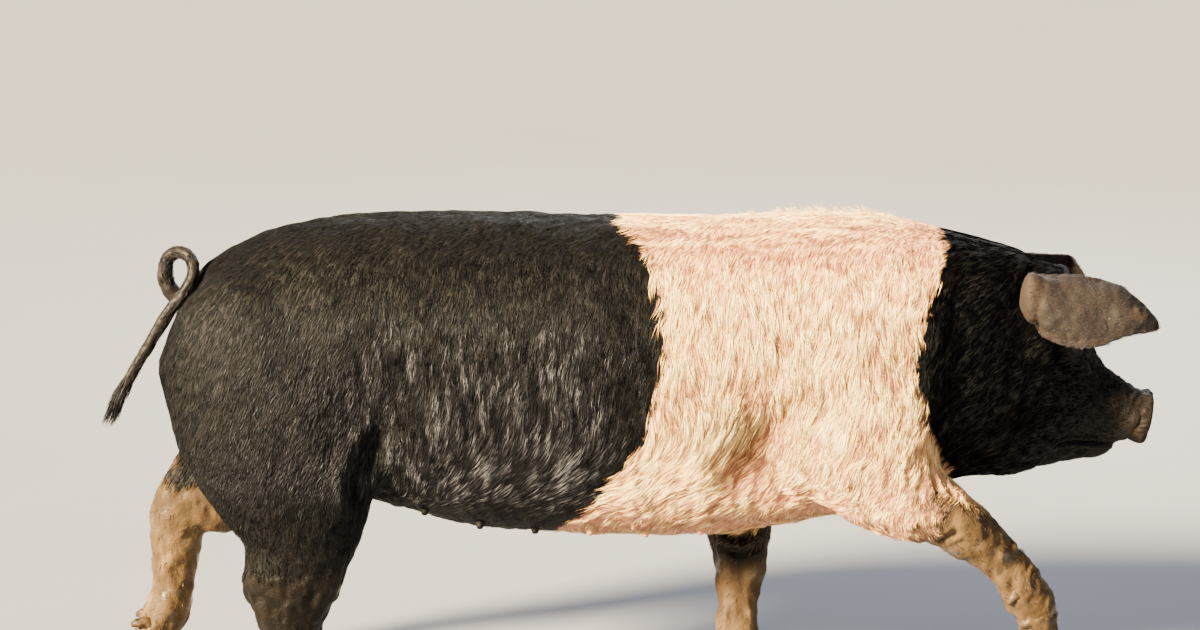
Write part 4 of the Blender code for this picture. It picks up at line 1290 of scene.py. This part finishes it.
def buildClaw(name, leg, turn):
    dense = smoothRows(claws["levels"], 4)
    for i, row in enumerate(dense):
        row[1:] *= 1 + 0.008 * math.sin(i * 1.9) * math.sin(math.pi * i / len(dense))
    obj = loft(name, [clawRing(leg, turn, *row) for row in dense])
    points, out = surface(obj.data)
    move = 0.0007 * Ripple(51, 0.012)(points) + 0.0010 * np.maximum(Ripple(52, 0.02)(points) - 0.5, 0)
    points = points + out * move[:, None]
    points[:, 2] = np.maximum(points[:, 2], 0.0)
    moveTo(obj.data, points)
    return obj


def buildDewclaw(name, leg, turn):
    rows = [(*footPoint(leg, a, turn * c, h), r) for a, c, h, r in claws["dewRows"]]
    obj = loft(name, tubeRings(smoothRows(rows, 5), 20))
    pushOut(obj.data, 0.0006 * Ripple(53, 0.010)(coordinates(obj.data)))
    return obj


def clawFinish():
    paint = Paint("clawHorn", Coat_Roughness=0.25, Specular_IOR_Level=0.15)
    place = paint.place()
    rings = paint.noise(paint.stretched((0.15, 0.15, 1)), 600, 2)
    broad, mottle = paint.noise(place, 60, 4), paint.noise(place, 240, 4)
    worn = rings * 0.5 + broad * 0.5
    colour = paint.ramp(worn, (0.35, (0.012, 0.008, 0.005)), (0.6, (0.036, 0.023, 0.013)))
    soil = paint.mask(broad * 0.6 + mottle * 0.4, 0.42, 0.56)
    colour = paint.mixed(soil, colour, (0.055, 0.031, 0.012))
    rough = 0.55 - soil * 0.10 + (mottle - 0.5) * 0.2
    return paint.finish(colour, rough, rings * 0.3 + mottle * soil * 0.7, 0.0006, coat=soil * 0.08)


clawMaterial = clawFinish()
for legName, leg in legs.items():
    for word, turn in (("inner", 1), ("outer", -1)):
        turn = -turn if leg["sole"][1] > 0 else turn
        horn = buildClaw(f"{legName}_horn_{word}", leg, turn)
        takeOver(horn, "claw_horn", [f"{legName}_claw_{word}"], clawMaterial)
        spur = buildDewclaw(f"{legName}_spur_{word}", leg, turn)
        takeOver(spur, "claw_horn", [f"{legName}_dewclaw_{word}"], clawMaterial)
print("claws made")


# Teats: two rows along the belly

teats = {
    "pairs": 6,
    "row": (-0.31, 0.10),
    "spread": 0.100,
    # height over the skin, radius
    "reaches": [
        (-0.008, 0.0085), (-0.001, 0.0080), (0.003, 0.0062),
        (0.006, 0.0052), (0.0080, 0.0042), (0.0090, 0.0025),
    ],
}


def buildTeats():
    pieces = []
    first, last = teats["row"]
    for k in range(teats["pairs"]):
        x = first + (last - first) * k / (teats["pairs"] - 1)
        for turn in (-1, 1):
            below = Vector((x, turn * teats["spread"], 0.1))
            spot, normal, _, _ = skinTree.ray_cast(below, Vector((0, 0, 1)))
            out = unit(np.array((0, normal.y, normal.z)))
            rows = [(*(np.array(spot) + out * reach), radius) for reach, radius in teats["reaches"]]
            pieces.append(loft("teat", tubeRings(smoothRows(rows, 3), 18)))
    obj = joined("teats", pieces)
    paintSkin(obj.data)
    return obj


takeOver(buildTeats(), "black_coat", (), skinMaterial)


# Coat: thin closed tufts rooted in the skin, lying along it

coat = {
    "seed": 71,
    "whiteTufts": 84000,
    "blackTufts": 110000,
    "headTufts": 38000,
    "muddyTufts": 5000,
    "crestBristles": 700,
    "earHairs": 4400,
    "tuftsPerPiece": 32000,
    "patch": 0.003,  # each tuft's place on the OFBake map
    # lengths and widths; the white, black and head lengths are the longest before they vary
    "whiteLength": 0.052,
    "whiteWidth": (0.0005, 0.0009),
    "blackLength": 0.020,
    "barrelLength": 0.008,  # added on the barrel
    "blackWidth": (0.0004, 0.0008),
    "headLength": 0.022,
    "noseLength": 0.013,  # taken off towards the nose
    "muddyLength": (0.010, 0.018),
    "muddyWidth": (0.0006, 0.0012),
    "crestLength": (0.010, 0.021),
    "crestWidth": 0.0007,
    "cordLength": (0.006, 0.012),
    "cordWidth": 0.0008,
    "earLength": (0.005, 0.010),
    "earWidth": 0.0004,
}
swirlBroad, swirlFine, swirlLock = Ripple(61, 0.09), Ripple(62, 0.030), Ripple(63, 0.012)
streak, streakFine = Ripple(64, 0.014, 40), Ripple(65, 0.007, 40)


def locks(points):
    # streaks down the sides, and along the back where the hair lies backwards
    high = step(points[:, 2], 0.695, 0.728)
    down, back = points * (1, 1, 0.11), points * (0.15, 1, 1)
    side = 0.6 * streak(down) + 0.5 * streakFine(down)
    return side * (1 - high) + (0.6 * streak(back) + 0.5 * streakFine(back)) * high


def lieAt(points, out, jitter, swirl):
    # the way the hair lies: back along the spine, down the sides, back under the belly
    x, y, z = points.T
    flank = step(z, 0.755, 0.685)
    sweep = 0.10 + 0.30 * step(x, -0.30, -0.50)
    sweep += 1.25 * step(z, 0.50, 0.36) * step(x, -0.40, -0.1) * step(x, 0.30, 0.16)
    sweep += 0.45 * step(z, 0.52, 0.40) * step(x, 0.12, 0.24)
    spine = np.stack([-np.ones_like(x), 0.55 * np.sign(y) * np.minimum(1, np.abs(y) / 0.02), -0.1 + 0 * x], 1)
    side = np.stack([-sweep, 0 * x, -np.ones_like(x)], 1)
    lie = spine + (side - spine) * flank[:, None]
    under = step(-out[:, 2], 0.45, 0.9)[:, None]
    lie = lie * (1 - under) + np.array((-1.0, 0, -0.1)) * under
    neck = step(x, 0.40, 0.50)[:, None]
    lie = lie * (1 - neck) + np.array((-0.85, 0, -0.75)) * neck
    ahead = headAxesOf(points)[0]
    face = step(ahead, 0.02, 0.10)[:, None]
    lie = lie * (1 - face) + (-headForward + np.array((0, 0, -0.35))) * face
    low = step(z, 0.36, 0.29)[:, None] * step(np.abs(y), 0.04, 0.06)[:, None]
    index, _ = nearestLeg(points)
    lie = lie * (1 - low) + perLeg("hairFall", index) * low
    lie = unit(lie - out * (lie * out).sum(1, keepdims=True))
    turns = 0.13 * swirlBroad(points) + 0.15 * swirlFine(points) + 0.08 * swirlLock(points)
    angle = swirl * turns + jitter
    return lie * np.cos(angle)[:, None] + np.cross(out, lie) * np.sin(angle)[:, None]


def scatter(mesh, points, out, weights, count, rng):
    # roots on a mesh, by area and weight
    corners = readAll(mesh.loop_triangles, "vertices", 3, int)
    a, b, c = (points[corners[:, i]] for i in range(3))
    area = np.linalg.norm(np.cross(b - a, c - a), axis=1) * weights[corners].mean(1)
    chosen = rng.choice(len(area), count, p=area / area.sum())
    u, v = rng.random((2, count, 1))
    flip = u + v > 1
    u, v = np.where(flip, 1 - u, u), np.where(flip, 1 - v, v)
    root = a[chosen] + (b[chosen] - a[chosen]) * u + (c[chosen] - a[chosen]) * v
    around = [out[corners[chosen, i]] for i in range(3)]
    return root, unit(around[0] * (1 - u - v) + around[1] * u + around[2] * v)


def scatterOnSkin(weights, count, rng):
    return scatter(skin.data, skinPoints, skinNormals, weights, count, rng)


def only(keep, *arrays):
    return [array[keep] for array in arrays]


def settle(points):
    # the nearest places on the skin and the skin's normals there
    hits = [skinTree.find_nearest(p)[:2] for p in points.tolist()]
    return np.array([h[0] for h in hits]), np.array([h[1] for h in hits])


def bakePlace(points):
    # an unwrap of the skin: the body round its axis above, each leg in a cell below
    index, apart = nearestLeg(points)
    x, y, z = points.T
    u = (x + 0.80) / 1.66
    v = 0.30 + 0.69 * (np.arctan2(y, z - 0.50) / (2 * math.pi) + 0.5)
    leg = (z < 0.30) & (apart < 0.09)
    middles = perLeg("middle", index)
    spin = np.arctan2(y - middles[:, 1], x - middles[:, 0]) / (2 * math.pi) + 0.5
    u = np.where(leg, 0.01 + 0.245 * index + 0.23 * spin, u)
    v = np.where(leg, 0.01 + 0.27 * np.clip(z / 0.32, 0, 1), v)
    return np.clip(np.stack([u, v], 1), 0.002, 0.995)


def tuftMesh(name, spine, out, width, places, tone, flat=0.35):
    # spine: for each tuft its 3 or 4 places from root to tip; the ones between are rings
    count, steps = spine.shape[:2]
    rings = steps - 2
    per = 2 + 3 * rings
    points = np.empty((count, per, 3))
    points[:, 0], points[:, -1] = spine[:, 0], spine[:, -1]
    runs, sides = np.zeros(per), np.full(per, 0.5)
    runs[-1] = 1
    for r in range(rings):
        middle = spine[:, r + 1]
        across = (width * (1.0 if r == 0 else 0.72))[:, None]
        side = unit(np.cross(spine[:, r + 2] - spine[:, r], out)) * across / 2
        base = 1 + 3 * r
        points[:, base], points[:, base + 1] = middle - side, middle + side
        points[:, base + 2] = middle + out * (width * flat)[:, None]
        runs[base : base + 3] = (r + 1) / (rings + 1)
        sides[base], sides[base + 1] = 0, 1
    faces = [(0, 2, 1), (0, 3, 2), (0, 1, 3)]
    if rings == 2:
        for k in range(3):
            n = (k + 1) % 3
            faces += [(1 + k, 1 + n, 4 + n), (1 + k, 4 + n, 4 + k)]
    last = 1 + 3 * (rings - 1)
    faces += [(last, last + 1, per - 1), (last + 1, last + 2, per - 1), (last + 2, last, per - 1)]
    faces = np.array(faces)
    every = (faces[None] + (np.arange(count) * per)[:, None, None]).reshape(-1, 3)
    mesh = bpy.data.meshes.new(name)
    mesh.vertices.add(count * per)
    mesh.vertices.foreach_set("co", points.ravel())
    mesh.loops.add(every.size)
    mesh.loops.foreach_set("vertex_index", every.ravel().astype(np.int32))
    mesh.polygons.add(len(every))
    mesh.polygons.foreach_set("loop_start", np.arange(0, every.size, 3, dtype=np.int32))
    mesh.update(calc_edges=True)
    uv = mesh.uv_layers.new(name="OFBake")
    spots = places[:, None] + np.stack([sides, runs], 1)[None] * coat["patch"]
    uv.data.foreach_set("uv", spots.reshape(-1, 2)[every.ravel()].ravel())
    store(mesh, "tone", np.repeat(tone, per))
    store(mesh, "along", np.tile(runs, count))
    return added(name, mesh)


def growTufts(name, root, out, length, width, lift, tone, finish, rng, spread, swirl=1.0):
    # lays each tuft on the skin in two steps and cuts the coat into pieces
    material, slot = finish
    jitter = rng.normal(0, spread, len(root))
    first = lieAt(root, out, jitter, swirl)
    middle, middleOut = settle(root + first * (0.5 * length)[:, None])
    second = lieAt(middle, middleOut, jitter, swirl)
    tip, tipOut = settle(middle + second * (0.5 * length)[:, None])
    middle = middle + middleOut * (length * lift * 0.75 + 0.0006)[:, None]
    tip = tip + tipOut * (length * lift + 0.0004)[:, None]
    spine = np.stack([root - out * 0.0012, middle, tip], 1)
    places = bakePlace(root)
    cuts = math.ceil(len(root) / coat["tuftsPerPiece"])
    for k in range(cuts):
        part = slice(k, None, cuts)
        label = name if cuts == 1 else f"{name}_{k + 1}"
        obj = tuftMesh(label, spine[part], middleOut[part], width[part], places[part], tone[part])
        takeOver(obj, slot, (), material)


def creamFinish():
    paint = Paint("creamHair", Specular_IOR_Level=0.35)
    tone, along = paint.stored("tone"), paint.stored("along")
    colour = paint.ramp(
        tone,
        (0.0, (0.21, 0.082, 0.038)), (0.25, (0.49, 0.240, 0.105)),
        (0.6, (0.92, 0.60, 0.200)), (1.0, (1.0, 0.86, 0.42)),
    )
    # darker and pinker towards the root: partly the hair's own colour, partly painted shade between the tufts
    colour = paint.mixed((1 - along) ** 2 * 0.45, colour, (0.39, 0.165, 0.064))
    soil = paint.mask(paint.noise(paint.place(), 7, 4), 0.56, 0.76)
    colour = paint.mixed(soil * 0.35, colour, (0.46, 0.245, 0.105))
    return paint.finish(colour, 0.46 + (paint.noise(paint.place(), 300) - 0.5) * 0.2)


def blackFinish(name, paintedShadeScale, shine):
    # the black hair's shades times the given scale, in red, green and blue; a scale below 1 paints shade
    paint = Paint(name, Specular_IOR_Level=shine)
    stops = [
        (0.0, (0.0010, 0.0010, 0.0012)), (0.3, (0.0024, 0.0026, 0.0033)), (0.55, (0.0104, 0.0110, 0.0138)),
        (0.8, (0.0360, 0.0372, 0.0445)), (1.0, (0.112, 0.113, 0.130)),
    ]
    stops = [(at, tuple(np.multiply(shade, paintedShadeScale))) for at, shade in stops]
    colour = paint.ramp(paint.stored("tone"), *stops)
    dust = paint.mask(paint.noise(paint.place(), 9, 4), 0.46, 0.72)
    colour = paint.mixed(dust * 0.25 * paintedShadeScale[0], colour, (0.0105, 0.0096, 0.0090))
    return paint.finish(colour, 0.40 + (paint.noise(paint.place(), 300) - 0.5) * 0.2)


def muddyFinish():
    paint = Paint("muddyHair", Coat_Roughness=0.15)
    colour = paint.ramp(
        paint.stored("tone"),
        (0.0, (0.030, 0.015, 0.005)), (0.5, (0.090, 0.048, 0.017)), (1.0, (0.220, 0.130, 0.052)),
    )
    wet = paint.noise(paint.place(), 60)
    return paint.finish(colour, 0.6 - wet * 0.2, coat=wet * 0.25)


creamHair, muddyHair = creamFinish(), muddyFinish()
blackHair = blackFinish("blackHair", (1, 1, 1), 0.05)
# the head and neck hair is darker, bluer and without shine: painted shade
faceHairPaintedShade = blackFinish("faceHairPaintedShade", (0.13, 0.13, 0.16), 0.0)


def growCoat():
    rng = np.random.default_rng(coat["seed"])
    thin = 1.0
    white, mud = whiteAt(skinPoints), mudAt(skinPoints)
    bare = bareAndShadeAt(skinPoints, skinNormals)
    ahead, _, _ = headAxesOf(skinPoints)
    centres = [eyeCentre("eye_right"), eyeCentre("eye_left")]
    eyeNear = np.min([np.linalg.norm(skinPoints - c, axis=1) for c in centres], axis=0)
    clear = step(eyeNear, 0.018, 0.030) * step(ahead, 0.226, 0.205)

    # white hair, longest over the ribs, thin where the skin shows, and darker in the hollow behind the arm as
    # painted shade
    weights = white * (1 - mud) * (1 - 0.68 * bare)
    root, out = scatterOnSkin(weights, round(coat["whiteTufts"] * thin), rng)
    root, out = only((whiteAt(root) > 0.5) & (mudAt(root) < 0.5), root, out)
    count = len(root)
    height = root[:, 2]
    long = coat["whiteLength"] * (0.60 + 0.40 * step(height, 0.36, 0.50)) * rng.uniform(0.6, 1.1, count)
    long *= (1 - 0.30 * step(root[:, 0], 0.30, 0.42)) * (1 - 0.45 * step(height, 0.64, 0.72))
    long *= 1 - 0.5 * step(mudAt(root, 0.04), 0.0, 0.35)
    width = rng.uniform(*coat["whiteWidth"], count)
    lock = locks(root)
    tone = 0.58 + 0.22 * rng.normal(size=count) + 0.36 * lock
    # darker where skin shows; behind the arm this is painted shade in the hollow
    tone -= 0.36 * np.exp(-(((height - 0.722) / 0.024) ** 2)) + 0.44 * bareAndShadeAt(root, out)
    tone -= 0.3 * step(mudAt(root, 0.04), 0.0, 0.35)
    lift = np.clip(rng.uniform(0.02, 0.08, count) + 0.035 * lock, 0.01, 0.13)
    tone = np.clip(tone, 0, 1)
    growTufts("coat_white", root, out, long, width, lift, tone, (creamHair, "white_coat"), rng, 0.05)

    # black hair, in streaks on the barrel; lighter where painted light falls, with painted sheen along the
    # streaks
    black = (1 - white) * (1 - mud) * (1 - 0.5 * bare) * clear
    neck = step(skinPoints[:, 0], 0.425, 0.445)
    root, out = scatterOnSkin(black * (1 - neck), round(coat["blackTufts"] * thin), rng)
    root, out = only(whiteAt(root) < 0.5, root, out)
    count = len(root)
    x, height = root[:, 0], root[:, 2]
    barrel = step(x, -0.46, -0.34) * step(height, 0.66, 0.58) * step(height, 0.29, 0.36)
    long = (coat["blackLength"] + coat["barrelLength"] * barrel) * rng.uniform(0.7, 1.3, count)
    long *= 1 - 0.35 * step(height, 0.38, 0.28)
    width = rng.uniform(*coat["blackWidth"], count)
    lock = locks(root)
    # painted light and shade: the hair is lighter over the barrel and ham where the key falls, and darker on
    # the back, under the belly, by the white band and at the rear
    paintedLight = step(height, 0.70, 0.62) * step(height, 0.31, 0.40) * (1 - 0.8 * step(x, -0.09, -0.01))
    paintedLight *= step(x, -0.75, -0.60)
    # the lighter streaks of tone on the barrel are painted sheen
    tone = 0.255 + 0.12 * rng.normal(size=count) + (0.05 + 0.19 * barrel) * lock
    tone += (0.30 + 0.04 * step(x, -0.36, -0.44)) * paintedLight
    lift = np.clip(rng.uniform(0.01, 0.04, count) + 0.015 * barrel * lock, 0.005, 0.08)
    tone = np.clip(tone, 0, 1)
    growTufts("coat_black", root, out, long, width, lift, tone, (blackHair, "black_coat"), rng, 0.08, 0.5)

    # the same on neck and head, finer and shorter towards the nose, and darker and bluer as painted shade
    root, out = scatterOnSkin(black * neck, round(coat["headTufts"] * thin), rng)
    root, out = only(whiteAt(root) < 0.5, root, out)
    count = len(root)
    ahead, _, _ = headAxesOf(root)
    long = coat["headLength"] - coat["noseLength"] * step(ahead, 0.02, 0.17)
    long *= rng.uniform(0.7, 1.3, count)
    width = rng.uniform(*coat["blackWidth"], count) * (1 - 0.3 * step(ahead, 0.05, 0.17))
    tone = np.clip(0.35 + 0.06 * rng.normal(size=count), 0, 1)
    lift = rng.uniform(0.01, 0.04, count)
    growTufts("coat_head", root, out, long, width, lift, tone, (faceHairPaintedShade, "black_coat"), rng, 0.08, 0.5)

    # hair stuck together with mud
    edge = mudAt(skinPoints, 0.034)
    weights = edge * (1 - edge) * 4 * white + 0.04 * mud * ochreAndLightAt(skinPoints)
    weights *= step(skinPoints[:, 2], 0.05, 0.09)
    root, out = scatterOnSkin(weights, round(coat["muddyTufts"] * thin), rng)
    count = len(root)
    long, width = rng.uniform(*coat["muddyLength"], count), rng.uniform(*coat["muddyWidth"], count)
    lift = rng.uniform(0.02, 0.07, count)
    tone = np.clip(1 - mudAt(root, 0.034) + rng.normal(0, 0.2, count), 0, 1)
    growTufts("coat_muddy", root, out, long, width, lift, tone, (muddyHair, "muddy_leg"), rng, 0.12)


growCoat()
print("coat grown")


def growCrest():
    # bristles that stand a little along the white part of the back
    rng = np.random.default_rng(coat["seed"] + 1)
    count = coat["crestBristles"]
    x = rng.uniform(0.14, 0.41, count)
    root, out = settle(np.stack([x, rng.normal(0, 0.018, count), np.full(count, 0.78)], 1))
    length = rng.uniform(*coat["crestLength"], count) * (0.4 + 0.6 * step(x, 0.14, 0.24))
    length *= 0.5 + 0.5 * step(x, 0.41, 0.36)
    lie = unit(np.array((-0.9, 0, 0.0)) + rng.normal(0, 0.16, (count, 3)))
    rise = rng.uniform(0.20, 0.60, count)[:, None]
    lie = unit(lie * (1 - rise) + out * rise)
    tip = root + lie * length[:, None]
    middle = (root + tip) / 2 + out * 0.0015
    low = root * 0.66 + middle * 0.34 + out * 0.0008
    spine = np.stack([root - out * 0.001, low, middle * 0.5 + tip * 0.5, tip], 1)
    tone = rng.uniform(0.55, 1.0, count)
    up = unit(np.cross(unit(np.cross(lie, out)), lie))
    obj = tuftMesh("coat_crest", spine, up, np.full(count, coat["crestWidth"]), bakePlace(root), tone)
    takeOver(obj, "white_coat", (), creamHair)


def growSwitch():
    # the tail's hairs: short along the cord, long at its end
    rng = np.random.default_rng(coat["seed"] + 2)
    rows = smoothRows(tail["rows"], 10)
    few, many = tail["switchHairs"], tail["shortHairs"]
    count = many + few
    place = np.concatenate([rng.uniform(20, 118, many), rng.uniform(tail["switchFrom"] * 10, 128, few)])
    at = np.clip(place.astype(int), 0, len(rows) - 5)
    root = rows[at, :3]
    lie = unit(rows[np.minimum(at + 4, len(rows) - 1), :3] - rows[at, :3])
    angle = rng.uniform(0, 2 * math.pi, count)[:, None]
    ahead = unit(np.cross(sideways, lie))
    out = ahead * np.cos(angle) + np.cross(lie, ahead) * np.sin(angle)
    radius = rows[at, 3][:, None] - 0.0007
    root = root + out * radius * 0.95
    onCord = np.arange(count) < many
    short, long = rng.uniform(*coat["cordLength"], count), rng.uniform(*tail["switchLength"], count)
    long = np.where(onCord, short, long)[:, None]
    droop = lie + np.array((0, 0, -0.12))
    fan = rng.normal(0, 0.10, (count, 3))
    middle = root + unit(lie + out * 0.16) * long * 0.5
    tip = middle + unit(droop + out * 0.04 + fan) * long * 0.5
    low, high = root * 0.4 + middle * 0.6 + out * 0.0003, middle * 0.5 + tip * 0.5 + out * 0.0003
    spine = np.stack([root - out * 0.001, low, high, tip], 1)
    width = np.where(onCord, coat["cordWidth"], tail["switchWidth"])
    places = np.stack([0.02 + 0.9 * place / 130, 0.02 + 0.9 * angle[:, 0] / (2 * math.pi)], 1)
    obj = tuftMesh("coat_tail", spine, out, width, places, np.clip(rng.normal(0.50, 0.16, count), 0, 1))
    takeOver(obj, "black_coat", (), blackHair)


def growEarHair(side, turn, droop):
    # down over the outside of the ear and the lobe, closer along the rim
    rng = np.random.default_rng(coat["seed"] + (3 if turn > 0 else 4))
    mesh = earPieces[side].data
    points, out = surface(mesh)
    across, inside = (readAll(mesh.attributes[key].data, "value", 1)[:, 0] for key in ("across", "inside"))
    rim = np.maximum(step(across, 0.90, 0.97), step(across, 0.08, 0.02))
    face, faceOut = settle(points)
    clear = step(((points - face) * faceOut).sum(1), 0.001, 0.004)
    weights = clear * (1 + 2 * rim - 0.7 * inside * (1 - rim))
    root, out = scatter(mesh, points, out, weights, coat["earHairs"], rng)
    count = len(root)
    lie = unit(np.array((1, 0, -0.15 - 8 * droop)) + rng.normal(0, 0.16, (count, 3)))
    lie = unit(lie - out * (lie * out).sum(1, keepdims=True))
    long = rng.uniform(*coat["earLength"], count)[:, None]
    middle = root + lie * long * 0.5 + out * long * 0.04
    tip = root + lie * long + out * long * 0.05
    spine = np.stack([root - out * 0.0008, middle, tip], 1)
    places = np.stack([(root[:, 0] - 0.56) / 0.23, 0.02 + 0.28 * (root[:, 2] - 0.50) / 0.19], 1)
    places = np.clip(places, 0.002, 0.995)
    tone = np.clip(rng.normal(0.78, 0.06, count), 0, 1)
    obj = tuftMesh(f"coat_ear_{side}", spine, out, np.full(count, coat["earWidth"]), places, tone)
    takeOver(obj, "ear_skin", (), blackHair)


growCrest()
growSwitch()
growEarHair("right", 1, 0.0)
growEarHair("left", -1, ears["leftDroop"])
print("bristles grown")


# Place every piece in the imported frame

for piece, slot, nodes in made:
    piece.data.transform(Matrix.Translation((packShift, 0, 0)))
    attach(piece, "root")
    if nodes:
        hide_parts(*nodes)
print("pieces placed:", len(made))


# Studio: pale floor, soft light, and the photograph's view

studio = {
    "floor": ((0.201, 0.211, 0.242), (0.214, 0.224, 0.257)),  # darkest and lightest
    "camera": (-0.0415, -4.597, 1.575),
    "down": math.radians(12),
    "lens": 94,
    # place, aimed at, size, power, colour
    "lamps": {
        "fill": ((3.4, -3.2, 1.3), (0.2, 0, 0.4), 3.0, 40, (0.90, 0.95, 1.0)),
        "rim": ((0.8, 3.2, 2.8), (0.0, 0, 0.5), 2.2, 220, (0.97, 0.98, 1.0)),
    },
    # an even warm key from behind the near side: direction to it, strength, spread, colour
    "key": ((-0.775, -0.484, 0.450), 58.0, 0.20, (1.0, 0.79, 0.485)),
    "sky": (0.86, 0.93, 1.03),
    "skyStrength": 0.30,
}


def addLamp(name, kind, power, colour, direction):
    light = bpy.data.lights.new(name, kind)
    light.energy, light.color = power, colour
    lamp = added(name, light)
    lamp.rotation_euler = direction.to_track_quat("-Z", "Y").to_euler()
    return lamp


def buildStudio():
    bpy.ops.mesh.primitive_plane_add(size=40, location=(0, 0, 0))
    floor = bpy.context.active_object
    floor.name = "floor"
    paint = Paint("floorFinish", Specular_IOR_Level=0.2)
    tint = paint.noise(paint.place(), 1.5, 3)
    dark, pale = studio["floor"]
    floor.data.materials.append(paint.finish(paint.ramp(tint, (0.3, dark), (0.8, pale)), 0.8))
    for name, (place, aim, size, power, colour) in studio["lamps"].items():
        lamp = addLamp(name, "AREA", power, colour, Vector(aim) - Vector(place))
        lamp.location, lamp.data.size = place, size
    toward, strength, spread, colour = studio["key"]
    addLamp("key", "SUN", strength, colour, -Vector(toward)).data.angle = spread
    world = bpy.data.worlds.new("studio")
    world.use_nodes = True
    back = world.node_tree.nodes["Background"]
    back.inputs["Color"].default_value = (*studio["sky"], 1)
    back.inputs["Strength"].default_value = studio["skyStrength"]
    bpy.context.scene.world = world
    camera = added("camera", bpy.data.cameras.new("camera"))
    camera.data.sensor_width, camera.data.lens = 36, studio["lens"]
    camera.location = studio["camera"]
    camera.rotation_euler = (math.pi / 2 - studio["down"], 0, 0)
    bpy.context.scene.camera = camera


buildStudio()
print("studio ready")
